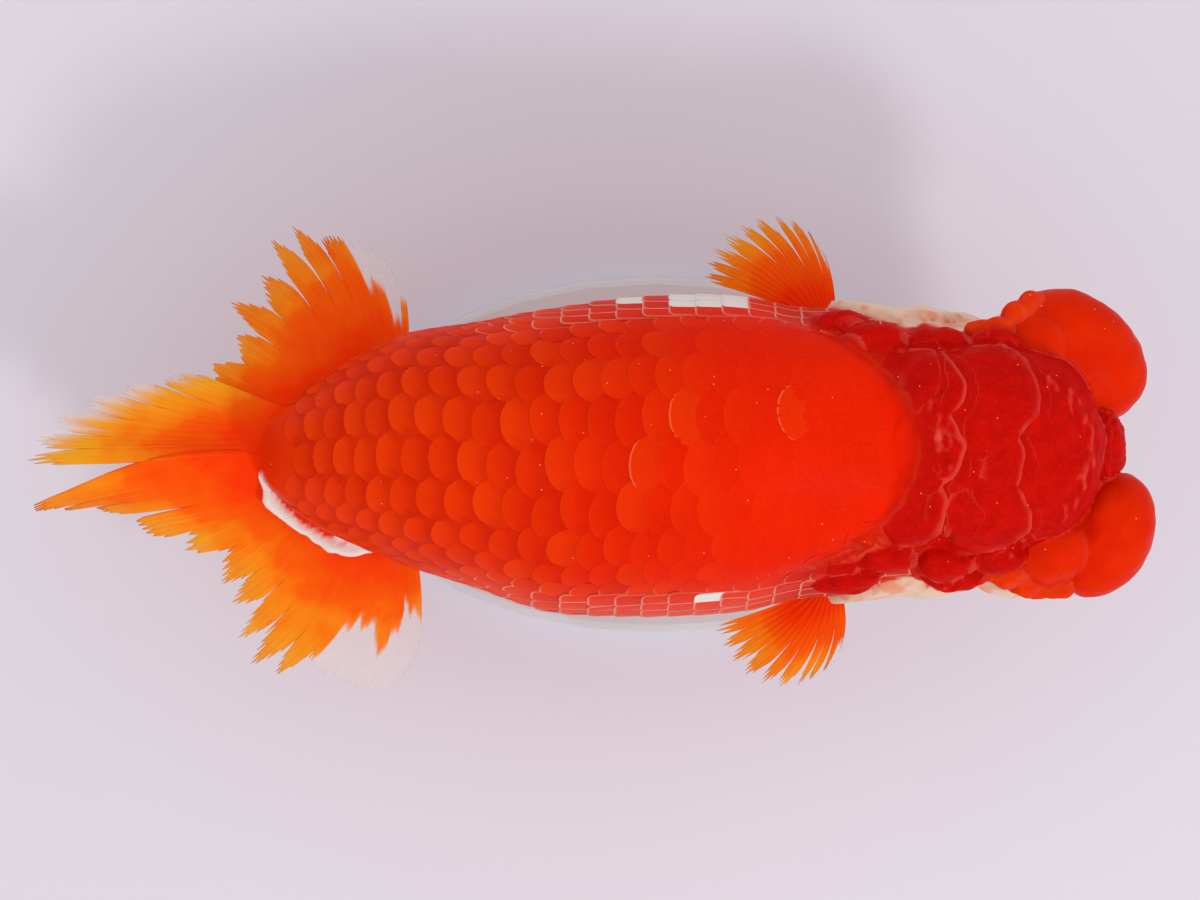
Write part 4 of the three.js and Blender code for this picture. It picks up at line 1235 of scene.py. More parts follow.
# %% Rays of every fin: root, middle and tip, from the leading edge inwards
RAYS = {
    "tail_lower_left": [
        [[-42.6, 8.0, 44.6], [-39.4, 17.5, 43.0], [-41.6, 27.4, 39.6]],
        [[-44.2, 8.2, 45.2], [-40.4, 21.0, 43.4], [-44.6, 32.4, 39.4]],
        [[-45.8, 8.2, 45.8], [-43.2, 23.0, 44.4], [-50.6, 36.0, 40.0]],
        [[-47.4, 8.2, 46.5], [-45.0, 25.5, 46.0], [-57.8, 39.2, 41.2]],
        [[-49.0, 8.1, 47.2], [-47.6, 25.5, 47.2], [-60.4, 36.8, 42.4]],
        [[-50.6, 7.9, 48.0], [-50.4, 24.0, 48.4], [-63.6, 34.8, 43.4]],
        [[-52.2, 7.6, 48.8], [-53.4, 21.0, 49.6], [-64.8, 28.8, 45.2]],
        [[-53.8, 7.2, 49.6], [-56.4, 18.4, 50.8], [-69.6, 24.6, 46.8]],
        [[-55.2, 6.8, 50.4], [-59.2, 15.4, 51.8], [-68.6, 19.0, 48.4]],
        [[-56.6, 6.4, 51.2], [-65.8, 9.4, 52.6], [-73.8, 13.2, 51.2]],
    ],
    "tail_upper_left": [
        [[-57.2, 6.2, 52.2], [-65.2, 9.6, 54.0], [-75.0, 13.4, 53.0]],
        [[-59.0, 4.6, 53.6], [-72.0, 6.6, 56.6], [-84.0, 11.6, 56.4]],
        [[-60.4, 3.6, 55.0], [-78.0, 4.0, 59.0], [-92.6, 9.0, 59.4]],
        [[-61.6, 2.4, 56.4], [-82.0, 1.6, 61.2], [-98.6, 3.4, 62.6]],
        [[-62.6, 0.6, 57.8], [-79.0, 1.3, 62.8], [-101.0, -2.4, 65.4]],
    ],
    "tail_lower_right": [
        [[-42.4, -8.0, 44.6], [-36.8, -18.0, 43.0], [-39.4, -34.6, 37.0]],
        [[-44.0, -8.2, 45.2], [-39.2, -22.0, 43.4], [-43.6, -38.6, 37.4]],
        [[-45.6, -8.2, 45.8], [-42.6, -24.0, 44.4], [-50.0, -39.2, 38.4]],
        [[-47.2, -8.2, 46.5], [-45.2, -25.0, 45.6], [-57.0, -38.8, 39.6]],
        [[-48.8, -8.1, 47.1], [-48.0, -25.5, 46.6], [-62.6, -35.9, 41.0]],
        [[-50.4, -7.9, 47.9], [-51.4, -22.5, 47.8], [-66.8, -34.0, 42.4]],
        [[-52.0, -7.6, 48.7], [-54.6, -19.5, 49.2], [-68.6, -29.2, 44.2]],
        [[-53.6, -7.2, 49.5], [-57.6, -16.4, 50.4], [-69.4, -22.9, 46.2]],
        [[-55.2, -6.7, 50.3], [-60.6, -13.4, 51.6], [-71.6, -20.2, 48.0]],
        [[-56.8, -6.3, 51.2], [-66.8, -10.0, 52.6], [-79.0, -13.4, 50.6]],
    ],
    "tail_upper_right": [
        [[-57.4, -6.1, 52.2], [-66.8, -10.2, 54.0], [-80.8, -13.4, 53.2]],
        [[-59.4, -4.6, 53.8], [-73.0, -7.0, 56.8], [-88.6, -9.6, 57.0]],
        [[-61.0, -3.2, 55.6], [-78.0, -4.6, 59.8], [-95.8, -8.8, 61.2]],
        [[-62.6, -0.6, 57.8], [-79.0, 0.4, 62.8], [-101.6, -8.4, 65.4]],
    ],
    "pectoral_fin_left": [
        [[28.4, 21.0, 48.6], [29.0, 28.6, 47.4], [26.0, 34.4, 45.6]],
        [[27.8, 21.2, 48.0], [26.8, 31.6, 47.0], [22.6, 37.6, 44.6]],
        [[27.2, 21.4, 47.4], [24.0, 32.6, 46.6], [17.2, 39.0, 43.8]],
        [[26.6, 21.6, 46.8], [20.8, 31.8, 46.0], [12.2, 37.0, 43.4]],
        [[26.0, 21.6, 46.2], [17.6, 29.6, 45.2], [8.4, 33.2, 43.4]],
        [[25.4, 21.4, 45.6], [15.8, 26.4, 44.4], [6.8, 28.2, 43.6]],
    ],
    "pectoral_fin_right": [
        [[29.0, -21.0, 48.6], [31.6, -27.4, 47.4], [28.6, -33.0, 45.6]],
        [[28.4, -21.2, 48.0], [29.2, -30.4, 47.0], [25.2, -36.2, 44.6]],
        [[27.8, -21.4, 47.4], [26.2, -31.8, 46.6], [21.2, -37.8, 43.8]],
        [[27.2, -21.6, 46.8], [22.6, -31.0, 46.0], [15.8, -36.6, 43.4]],
        [[26.6, -21.6, 46.2], [19.2, -28.6, 45.2], [11.4, -33.2, 43.4]],
        [[26.0, -21.4, 45.6], [17.4, -25.4, 44.4], [8.4, -27.8, 43.6]],
    ],
    "pelvic_fin_left": [
        [[4.0, 7.6, 36.4], [-3.0, 15.6, 30.6], [-11.0, 21.0, 27.6]],
        [[2.6, 7.8, 36.2], [-6.0, 15.0, 30.4], [-15.6, 19.6, 26.8]],
        [[1.2, 8.0, 36.0], [-8.0, 13.6, 30.4], [-18.6, 16.8, 27.2]],
        [[-0.2, 8.0, 36.0], [-8.6, 12.0, 31.0], [-18.8, 13.4, 28.6]],
        [[-1.6, 8.0, 36.2], [-8.4, 10.6, 32.0], [-15.8, 10.8, 30.6]],
    ],
    "anal_fin_left": [
        [[-34.6, 2.6, 42.0], [-39.4, 5.0, 35.4], [-45.4, 6.8, 30.8]],
        [[-36.4, 2.6, 42.6], [-42.6, 5.2, 36.0], [-49.6, 7.0, 31.8]],
        [[-38.2, 2.6, 43.2], [-44.8, 4.8, 37.6], [-52.0, 6.2, 34.6]],
        [[-40.0, 2.6, 43.8], [-45.4, 4.2, 39.8], [-50.8, 4.8, 38.2]],
    ],
}
for fin in ("pelvic_fin", "anal_fin"):
    RAYS[fin + "_right"] = (np.array(RAYS[fin + "_left"]) * [1, -1, 1]).tolist()
print(len(RAYS), "fins")

# %% [markdown]
# For each fin a short note says where the web is split, how far out the colour reaches, and how
# frayed the edge is. Places across the fin are counted in rays of the list above, places
# along it from 0 at the root to 1 at the edge.

# %% Splits, colour and fraying of every fin
# splits: (place across, where it starts along, how wide it opens)
# colour: (place across, how far out the colour reaches)
# point and fray: how far the edge draws in beside a tip, and between loose ray ends
# tip_heat: how orange the tip is; forks: ridges per ray; over: overlap with the upper lobe
FIN_NOTES = {
    "tail_lower_left": {
        "splits": [(3.3, 0.46, 0.16), (4.45, 0.46, 0.22), (5.5, 0.50, 0.20), (6.5, 0.60, 0.16),
                   (7.6, 0.56, 0.18), (8.45, 0.70, 0.14)],
        "colour": [(0, 0.88), (0.35, 0.84), (0.6, 0.62), (1.0, 0.56), (1.3, 0.58), (1.55, 0.70), (1.85, 0.78),
                   (2.05, 0.62), (2.2, 0.66), (2.4, 0.96), (2.6, 1.2), (9, 1.2)],
        "point": 0.16, "fray": 0.06, "tip_heat": 0.85, "forks": 1.0, "over": 0.5, "fade": 0.05,
    },
    "tail_upper_left": {
        "splits": [(0.8, 0.50, 0.10), (1.5, 0.55, 0.09), (2.2, 0.62, 0.10), (2.9, 0.60, 0.10),
                   (3.5, 0.66, 0.10)],
        "colour": [(0, 1.0), (1, 0.92), (2, 0.86), (3, 0.90), (3.6, 0.98), (4, 1.2)],
        "point": 0.07, "fray": 0.07, "tip_heat": 1.2, "forks": 1.6, "over": 0.5, "fade": 0.15,
    },
    "tail_lower_right": {
        "splits": [(3.75, 0.70, 0.08), (4.5, 0.66, 0.10), (5.5, 0.60, 0.14), (6.4, 0.62, 0.16),
                   (7.4, 0.68, 0.13), (8.4, 0.70, 0.14)],
        "colour": [(0, 0.73), (0.3, 0.70), (0.5, 0.60), (0.7, 0.66), (0.95, 0.52), (1.2, 0.70), (1.45, 0.67),
                   (1.75, 0.80), (2.05, 0.62), (2.3, 0.66), (2.7, 0.57), (3.0, 0.62), (3.35, 0.64),
                   (3.7, 0.9), (3.9, 1.2), (9, 1.2)],
        "point": 0.15, "fray": 0.07, "tip_heat": 1.0, "forks": 1.0, "over": 0.5,
    },
    "tail_upper_right": {
        "splits": [(0.75, 0.52, 0.16), (1.5, 0.60, 0.16), (2.2, 0.66, 0.14)],
        "colour": [(0, 1.1), (3, 1.2)],
        "point": 0.05, "fray": 0.06, "tip_heat": 0.85, "forks": 1.8, "over": 0.4,
    },
    "pectoral_fin": {
        "splits": [(0.4, 0.50, 0.12), (0.9, 0.34, 0.20), (1.5, 0.46, 0.12), (2.0, 0.34, 0.20),
                   (2.6, 0.50, 0.12), (3.1, 0.46, 0.14), (3.7, 0.62, 0.12), (4.2, 0.66, 0.12),
                   (4.6, 0.70, 0.12)],
        "colour": [(0, 0.95), (0.15, 0.62), (0.35, 0.70), (0.5, 1.1), (5, 1.1)],
        "point": 0.10, "fray": 0.12, "tip_heat": 0.95, "forks": 2.0,
    },
    "pelvic_fin": {
        "splits": [(0.8, 0.80, 0.08), (1.6, 0.74, 0.1), (2.4, 0.74, 0.1), (3.2, 0.78, 0.1)],
        "colour": [(0, 1.0), (2, 0.88), (4, 0.95)],
        "point": 0.09, "fray": 0.06, "tip_heat": 0.95, "forks": 2.0,
    },
    "anal_fin": {
        "splits": [(0.9, 0.80, 0.1), (2.1, 0.80, 0.1)],
        "colour": [(0, 1.0), (1.5, 0.88), (3, 1.0)],
        "point": 0.08, "fray": 0.06, "tip_heat": 0.9, "forks": 2.0,
    },
}


def note_for(fin):
    return FIN_NOTES.get(fin) or FIN_NOTES[fin.rsplit("_", 1)[0]]


print(sum(len(note_for(fin)["splits"]) for fin in RAYS), "splits")

# %% [markdown]
# The sheet is sampled segment by segment. At a split, the two segments share their border up to
# where the split starts and draw apart beyond it. Welding the shared points afterwards
# leaves one closed thin plate with real slits in it.

# %% From rays to a sheet
COLUMNS_PER_RAY = 30
TAIL_ROWS, SMALL_ROWS = 34, 22  # from root to edge
TAIL_ROOT, SMALL_ROOT = 1.9, 1.1  # thickness at the root, mm
WEB = 0.16  # thickness of the web at the edge, mm
TIP_PLACE = 0.38  # where across a blade its tip stands
FRINGE = 7.5  # loose ray tips per ray of the list
NUDGE = 0.02  # steps along and across, in rays, by which slopes are taken


def sheet_point(rays, across, along):
    """A point of the sheet; beyond the outer rays the sheet goes on straight."""
    last = len(rays) - 1
    rows = np.concatenate([np.arange(len(rays))[:, None], np.array(rays).reshape(len(rays), 9)], axis=1)
    inside = np.clip(across, 0.0, last)
    v = between(rows, inside)
    outer = rows[last, 1:] - rows[last - 1, 1:] if np.any(across > last) else rows[1, 1:] - rows[0, 1:]
    v = v + (across - inside)[:, None] * outer
    t = along[:, None]
    return (1 - t) ** 2 * v[:, :3] + 2 * t * (1 - t) * v[:, 3:6] + t**2 * v[:, 6:]


def sheet_normal(rays, across, along):
    last = len(rays) - 1
    mid = np.clip(across, NUDGE, last - NUDGE)
    inwards = np.maximum(along - NUDGE, 0)
    sideways = sheet_point(rays, mid + NUDGE, along) - sheet_point(rays, mid - NUDGE, along)
    outwards = sheet_point(rays, across, along + NUDGE) - sheet_point(rays, across, inwards)
    normal = np.cross(sideways, outwards)
    return normal / (np.linalg.norm(normal, axis=1)[:, None] + 1e-12)


def forked_ridges(across, along, forks):
    """Height from -1 to 1 of ridges whose number doubles twice on the way out."""
    waves = [np.cos(2 * np.pi * forks * n * across) for n in (1, 2, 4)]
    first, second = smoothstep(0.28, 0.42, along), smoothstep(0.62, 0.76, along)
    return (waves[0] * (1 - first) + waves[1] * first) * (1 - second) + waves[2] * second


halfway = sheet_point(RAYS["tail_lower_left"], np.array([4.0]), np.array([0.5]))[0]
print("halfway out on the left lobe:", halfway.round(1), "mm")

# %% [markdown]
# One segment is the web between two splits. Its tip stands a little before its middle, its edge
# is frayed between the loose ends of the rays, and it draws in beside each split, more and
# more towards the edge.

# %% One segment of a fin
def segment_grid(note, left, right, last, rows, tip_noise):
    """Even places across and out, then the real places across and along, for one segment."""
    (a0, start0, open0), (a1, start1, open1) = left, right
    columns = max(4, round((a1 - a0) * COLUMNS_PER_RAY))
    s, r = np.meshgrid(np.linspace(0, 1, columns + 1), np.linspace(0, 1, rows + 1), indexing="ij")
    even = a0 + (a1 - a0) * s
    fray = np.abs(((even * FRINGE) % 1) - 0.5) * 2
    jitter = tip_noise[np.floor(even * FRINGE).astype(int) % len(tip_noise)]
    skew = np.where(s < TIP_PLACE, (TIP_PLACE - s) / TIP_PLACE, (s - TIP_PLACE) / (1 - TIP_PLACE))
    pointed = note["point"] * skew**1.3 * np.where(s < TIP_PLACE, 0.5 + 0.5 * bool(open0), 1.0)
    fringe = note["fray"] * (1 - fray) * (0.6 + 0.4 * np.abs(jitter))
    along = (1 - pointed - np.where((s > 0) & (s < 1), fringe, note["fray"])) * r ** 0.9
    gap0 = open0 * smoothstep(start0, 1.25, along) / (a1 - a0)
    gap1 = open1 * smoothstep(start1, 1.25, along) / (a1 - a0)
    across = a0 + (a1 - a0) * (gap0 + (1 - gap0 - gap1) * s)
    if a1 == last:
        across = across + note.get("over", 0.0) * s**4 * (1 - smoothstep(0.45, 0.95, along))
    return even, r, across, along


def segment_sides(rays, root, even, across, along, forks, seed):
    """Points of the two sides of a segment, and the height of its forked ridges."""
    centre = sheet_point(rays, across, along)
    normal = sheet_normal(rays, across, along)
    wave = 0.45 * along**1.5 * np.sin(2.2 * across + seed)
    centre = centre + normal * wave[:, None]
    ridge = forked_ridges(even, along, forks)
    thick = WEB + (root - WEB) * np.exp(-along / 0.14) + (0.26 - 0.17 * along) * (0.5 + 0.5 * ridge)
    half = 0.5 * thick[:, None]
    return centre + normal * half, centre - normal * half, ridge


print(max(len(note_for(fin)["splits"]) for fin in RAYS) + 1, "segments in the most divided fin")

# %% [markdown]
# The two sides of a segment are joined at the root, at the edge and, beyond the start of a split,
# along the split. Where there is no split yet, the segment shares its border with the next.

# %% Faces and colour of a segment
def segment_faces(start, along, left, right, last):
    """Faces of one segment whose points begin at `start`, upper side first."""
    (a0, start0, open0), (a1, start1, open1) = left, right
    columns, rows = along.shape[0] - 1, along.shape[1] - 1
    under = along.size
    open_left = (along[0] > start0) if open0 else np.full(rows + 1, a0 == 0)
    open_right = (along[-1] > start1) if open1 else np.full(rows + 1, a1 == last)

    def at(c, q):
        return start + c * (rows + 1) + q

    faces = []
    for c in range(columns):
        for q in range(rows):
            p = (at(c, q), at(c + 1, q), at(c + 1, q + 1), at(c, q + 1))
            faces.append(p)
            faces.append(tuple(i + under for i in p[::-1]))
        faces.append((at(c, 0), at(c, 0) + under, at(c + 1, 0) + under, at(c + 1, 0)))
        faces.append((at(c, rows), at(c + 1, rows), at(c + 1, rows) + under, at(c, rows) + under))
    for q in range(rows):
        a, b = at(0, q), at(0, q + 1)
        if open_left[q + 1]:
            faces.append((a, b, b + under, a + under))
        a, b = at(columns, q), at(columns, q + 1)
        if open_right[q + 1]:
            faces.append((a, a + under, b + under, b))
    return faces


def web_colour(note, across, along, tip_noise):
    """1 where the web has kept its colour, which ends in tongues along the rays."""
    reach = np.interp(across, *zip(*note["colour"]))
    tongue = 0.055 * (np.abs(((across * note["forks"] * 2) % 1) - 0.5) * 2 - 0.5)
    draw = len(tip_noise) // 2 + np.floor(across * 4 * note["forks"])
    tongue = tongue + 0.02 * tip_noise[draw.astype(int) % len(tip_noise)]
    fade = note.get("fade", 0.03)
    return 1 - smoothstep(-fade, fade, along - reach - tongue)


sample = web_colour(note_for("tail_lower_left"), np.array([1.0]), np.array([0.2, 0.9]), np.zeros(2))
print("colour near the root and near the edge:", sample)

# %% [markdown]
# A whole fin is its segments in a row. It also gets the map `OFBake`: the upper side in the left
# half, the underside in the right half, so the two never share a place.

# %% A whole fin
def fin_piece(fin):
    """One fin as a thin closed plate with ridges and slits."""
    rays, note = RAYS[fin], note_for(fin)
    last = len(rays) - 1
    borders = [(0.0, 2.0, 0.0)] + note["splits"] + [(float(last), 2.0, 0.0)]
    root, rows = (TAIL_ROOT, TAIL_ROWS) if fin.startswith("tail") else (SMALL_ROOT, SMALL_ROWS)
    seed = sum(map(ord, fin)) % 97
    tip_noise = np.random.default_rng(seed).normal(0, 1, 400)
    points, faces, uvs, start = [], [], [], 0
    numbers = {"across": [], "along": [], "colour": [], "streak": []}
    for left, right in zip(borders[:-1], borders[1:]):
        even, r, across, along = segment_grid(note, left, right, last, rows, tip_noise)
        faces += segment_faces(start, along, left, right, last)
        even, r, across, along = even.ravel(), r.ravel(), across.ravel(), along.ravel()
        upper, lower, ridge = segment_sides(rays, root, even, across, along, note["forks"], seed)
        points += [upper, lower]
        colour = web_colour(note, across, along, tip_noise)
        for key, value in (("across", across), ("along", along), ("colour", colour), ("streak", ridge)):
            numbers[key] += [value, value]
        u = 0.01 + 0.46 * across / last
        uvs += [np.stack([u, 0.01 + 0.98 * r], 1), np.stack([u + 0.5, 0.01 + 0.98 * r], 1)]
        start += 2 * len(along)
    numbers = {key: np.concatenate(value) for key, value in numbers.items()}
    piece = new_piece(fin + "_web", np.concatenate(points), faces, **numbers)
    add_bake_map(piece, np.concatenate(uvs))
    weld(piece, 0.002)
    return piece


fin_pieces = {fin: fin_piece(fin) for fin in RAYS}
for fin, piece in fin_pieces.items():
    print(fin, len(piece.data.polygons), "faces")

# %% [markdown]
# ## Eyes
#
# A goldfish eye is a wide black pupil in a metallic iris, under a clear dome that stands out from
# the head. The ball and the dome are two pieces: light passes the clear dome and shows
# the iris a little below it, which is what makes an eye look alive.

# %% Ball and dome
PUPIL, IRIS = 0.44, 0.86  # radii as shares of the eye's


def turned(name, profile, centre, side, steps=64):
    """A shape turned about the eye's sideways axis from (radius, outwards) pairs."""
    angles = np.linspace(0, 2 * np.pi, steps, endpoint=False)
    points = []
    for radius, out in profile:
        sideways = np.full(steps, side * out)
        points.append(np.stack([radius * np.cos(angles), sideways, radius * np.sin(angles)], 1))
    points = np.concatenate(points) + centre
    faces = bands(len(profile), steps)
    radius = np.repeat([p[0] / EYE_RADIUS for p in profile], steps)
    piece = new_piece(name, points, faces, from_axis=radius)
    weld(piece, 0.001)
    return piece


print("pupil", round(2 * PUPIL * EYE_RADIUS, 1), "mm, iris", round(2 * IRIS * EYE_RADIUS, 1), "mm across")

# %% [markdown]
# The profile of the ball runs from its back to the iris, then down into the pupil. The dome is
# closed behind by an inner wall, so that light enters and leaves it as it does in a real lens.

# %% Profiles of the ball and the dome
def eye_profile():
    """Back of the ball, then a shallow cone of an iris and a pupil set a little deeper."""
    back = [(EYE_RADIUS * math.sin(t), -EYE_RADIUS * math.cos(t)) for t in np.linspace(0, 2.1, 18)]
    rim_r, rim_y = back[-1]
    front = [(rim_r * k, rim_y + 0.35 * (1 - k)) for k in np.linspace(0.97, PUPIL * EYE_RADIUS / rim_r, 16)]
    hole = [(PUPIL * EYE_RADIUS * k, front[-1][1] - 0.22 * (1 - k**2)) for k in np.linspace(0.97, 0, 10)]
    return back + front + hole


def dome_profile():
    """A clear dome over the front, closed behind by a thin inner wall."""
    outer = [(EYE_RADIUS * math.sin(t), EYE_RADIUS * math.cos(t)) for t in np.linspace(1.15, 0, 20)]
    inner = [(0.95 * r, 0.95 * y) for r, y in outer[::-1]]
    return inner + outer


eye_pieces, dome_pieces = [], []
for name, centre in EYES.items():
    side = math.copysign(1, centre[1])
    eye_pieces.append((name, turned(name + "_ball", eye_profile(), np.array(centre), side)))
    dome_pieces.append((name, turned(name + "_dome", dome_profile(), np.array(centre), side)))
print("eye", 2 * EYE_RADIUS, "mm across")

# %% [markdown]
# ## Finishes
#
# Every finish is a node tree. A few helpers keep the trees short. The first ones make a node, fill
# its inputs with values or links, and read a named number of the mesh.

# %% Making and linking nodes
class Nodes:
    """A material whose node tree is being built."""

    def __init__(self, name):
        self.material = bpy.data.materials.new(name)
        self.material.use_nodes = True
        self.tree = self.material.node_tree
        self.shader = self.tree.nodes["Principled BSDF"]

    def node(self, kind, inputs=None, **settings):
        node = self.tree.nodes.new("ShaderNode" + kind)
        for key, value in settings.items():
            setattr(node, key, value)
        for key, value in (inputs or {}).items():
            self.put(node.inputs[key], value)
        return node

    def put(self, socket, value):
        if isinstance(value, bpy.types.NodeSocket):
            self.tree.links.new(value, socket)
        elif isinstance(value, tuple) and len(value) == 3 and socket.type == "RGBA":
            socket.default_value = (*value, 1)
        else:
            socket.default_value = value

    def set(self, **values):
        """Fill sockets of the shader; an underscore stands for a space in their names."""
        for key, value in values.items():
            self.put(self.shader.inputs[key.replace("_", " ")], value)

    def number(self, name):
        return self.node("Attribute", attribute_name=name).outputs["Fac"]

    def place(self):
        return self.node("TexCoord").outputs["Object"]


print(len(frame["nodes"]), "solids wait for their finishes")

# %% [markdown]
# The others are the sums that all finishes are made of: `spread` maps a range of one number to
# a range of another, `mix` blends two colours and `blend` two numbers, `noise` gives clouds and
# `bump` turns a height into fine relief.

# %% Sums on nodes
class Finish(Nodes):
    def math(self, operation, a, b=0.0):
        return self.node("Math", {0: a, 1: b}, operation=operation).outputs[0]

    def times(self, a, b):
        return self.math("MULTIPLY", a, b)

    def rest(self, a):
        """1 - a"""
        return self.math("SUBTRACT", 1.0, a)

    def spread(self, value, low, high, to_low=0.0, to_high=1.0):
        inputs = {"Value": value, "From Min": low, "From Max": high, "To Min": to_low, "To Max": to_high}
        return self.node("MapRange", inputs).outputs[0]

    def mix(self, share, a, b):
        """A colour between a and b."""
        node = self.node("Mix", data_type="RGBA")
        for index, value in ((0, share), (6, a), (7, b)):
            self.put(node.inputs[index], value)
        return node.outputs[2]

    def blend(self, share, a, b):
        """A number between a and b."""
        node = self.node("Mix", data_type="FLOAT")
        for index, value in ((0, share), (2, a), (3, b)):
            self.put(node.inputs[index], value)
        return node.outputs[0]

    def noise(self, scale, detail, vector=None):
        inputs = {"Vector": vector or self.place(), "Scale": scale, "Detail": detail}
        return self.node("TexNoise", inputs).outputs["Fac"]

    def bump(self, height, strength, distance_mm, normal=None):
        inputs = {"Height": height, "Strength": strength, "Distance": distance_mm * MM}
        if normal:
            inputs["Normal"] = normal
        return self.node("Bump", inputs).outputs[0]


print("sums:", ", ".join(name for name in vars(Finish) if not name.startswith("_")))

# %% [markdown]
# Skin and scales share one colour scheme: orange-red flesh that is browner towards the tail and
# brighter over the shoulders. The colours are linear light values, so a strong orange-red has
# almost no green or blue in it. The gloss is low, because a fish under water has almost none.

# %% Colours
GLOSS = 0.015
# The trunk from rear to front
REAR_RED, BACK_RED, FRONT_RED = (0.84, 0.036, 0.0012), (0.78, 0.013, 0.0006), (0.84, 0.014, 0.0006)
CLOUD_RED, SHOULDER_RED = (0.62, 0.008, 0.0008), (0.56, 0.009, 0.0012)
FLANK_PINK, RIPPLE_PINK = (0.80, 0.12, 0.06), (0.80, 0.090, 0.050)
CREAM, BLUSH = (0.80, 0.56, 0.42), (0.82, 0.16, 0.02)
BARE_WHITE, GLINT_WHITE = (0.82, 0.72, 0.68), (0.92, 0.62, 0.50)


def body_colour(f):
    """Orange-red from tail to shoulder, pinker low on the flanks."""
    x = f.node("SeparateXYZ", {0: f.place()}).outputs
    colour = f.mix(f.spread(x[0], -0.045, -0.010), REAR_RED, BACK_RED)
    colour = f.mix(f.spread(x[0], -0.005, 0.022), colour, FRONT_RED)
    colour = f.mix(f.spread(f.noise(70, 4), 0.42, 0.68, 0.0, 0.40), colour, CLOUD_RED)
    towards_right = f.spread(x[1], 0.01, -0.01, 0.03, 0.42)
    colour = f.mix(f.times(f.number("flank"), towards_right), colour, FLANK_PINK)
    colour = f.mix(f.number("aside"), colour, SHOULDER_RED)
    return f.mix(f.times(f.number("ripple"), 0.45), colour, RIPPLE_PINK)


def painted_glints(f):
    """1 on a few tiny bright dots, painted glints."""
    cells = f.node("TexVoronoi", {"Vector": f.place(), "Scale": 600.0})
    few = f.spread(f.node("SeparateColor", {0: cells.outputs["Color"]}).outputs[0], 0.70, 0.72)
    return f.times(f.spread(cells.outputs["Distance"], 0.075, 0.04), few)


# %% [markdown]
# The growth is real skin swollen with fat, so it is mottled. Its low places and folds get painted
# shade, and the rims of its upper lobes and its raised crumples get a pale painted sheen. The gill
# covers have lost most of their colour, and an orange blush remains in blotches.

# %% Finish of the skin
GROWTH_RED, GROWTH_DEEP, CREASE_SHADE_RED = (0.62, 0.0045, 0.0016), (0.50, 0.0025, 0.0012), (0.42, 0.004, 0.002)
GROWTH_RIM, BROW_ORANGE = (0.76, 0.075, 0.055), (0.78, 0.055, 0.005)
PUFF_RED, PUFF_SHADE = (0.76, 0.022, 0.0008), (0.70, 0.014, 0.0008)
LIP_RED, LIP_ORANGE = (0.80, 0.07, 0.022), (0.82, 0.17, 0.08)


def growth_colour(f):
    """Red of the growth, with its puffs, brows, painted sheen on lobe rims and crumpled ridges, painted shade
    in its low places, and lips.
    """
    mottle = f.noise(420, 4)
    colour = f.mix(f.spread(mottle, 0.3, 0.7), GROWTH_DEEP, GROWTH_RED)
    # Painted shade: the low places of the relief are darker.
    colour = f.mix(f.spread(f.number("relief"), -0.25, -0.02, 0.7, 0.0), colour, GROWTH_DEEP)
    colour = f.mix(f.spread(f.noise(1300, 3), 0.5, 0.75, 0.0, 0.05), colour, GROWTH_RIM)
    puff = f.mix(f.spread(f.noise(150, 3), 0.35, 0.7), PUFF_RED, PUFF_SHADE)
    colour = f.mix(f.number("puff"), colour, puff)
    brow = f.mix(f.spread(mottle, 0.25, 0.75), PUFF_RED, BROW_ORANGE)
    colour = f.mix(f.number("brow"), colour, brow)
    # Painted sheen: at a crease the upper lobe gets a pale rim where it faces forward or outward.
    border = f.number("border")
    plain = f.math("ADD", f.number("puff"), f.number("brow"))
    shown = f.times(f.number("shown"), f.rest(f.times(plain, 0.5)))
    rim = f.math("MAXIMUM", f.spread(border, 2.6, 0.1, 0.0, 0.56), f.spread(border, 0.8, 0.15, 0.0, 0.66))
    upper = f.spread(border, -0.04, 0.08)
    colour = f.mix(f.times(f.times(upper, rim), shown), colour, GROWTH_RIM)
    # Painted sheen on the raised crumples of the crown's lips.
    painted_crumple_sheen = f.times(f.number("crumple"), f.spread(f.number("relief"), -0.04, 0.16))
    colour = f.mix(f.times(painted_crumple_sheen, 0.6), colour, GROWTH_RIM)
    colour = f.mix(f.times(f.number("spot"), 0.8), colour, GROWTH_RIM)
    lip = f.mix(f.spread(mottle, 0.35, 0.65), LIP_RED, LIP_ORANGE)
    return f.mix(f.number("lip"), colour, lip)


def skin_finish():
    f = Finish("wet_skin")
    colour = f.mix(f.number("growth"), body_colour(f), growth_colour(f))
    # Painted shade on the lower side of each crease.
    lower = f.rest(f.spread(f.number("border"), -0.04, 0.08))
    crease_shade = f.times(f.times(f.number("crease"), f.number("shown")), lower)
    colour = f.mix(f.times(crease_shade, 0.60), colour, CREASE_SHADE_RED)
    blotch = f.spread(f.noise(210, 2), 0.56, 0.66, 0.0, 0.5)
    colour = f.mix(f.number("pale"), colour, f.mix(blotch, CREAM, BLUSH))
    colour = f.mix(f.number("white"), colour, BARE_WHITE)
    # Painted glints: a few tiny bright dots.
    colour = f.mix(f.times(painted_glints(f), 0.7), colour, GLINT_WHITE)
    rough = f.blend(f.number("puff"), f.spread(f.number("growth"), 0, 1, 0.34, 0.5), 0.36)
    normal = f.bump(f.noise(2600, 3), 0.35, 0.10, f.bump(f.noise(900, 2), 0.3, 0.2))
    f.set(Base_Color=colour, Roughness=rough, Normal=normal, Specular_IOR_Level=GLOSS)
    return f.material


wet_skin = skin_finish()
print(len(wet_skin.node_tree.nodes), "nodes in the finish of the skin")

# %% [markdown]
# A scale is clear horn over a coloured bed. Its swell and free edge show as painted shade and light:
# dark in a painted shadow where the next one covers it, lighter towards the free edge, which gets a
# painted highlight. Low on the flank the edges turn pink, because there is less colour under them.

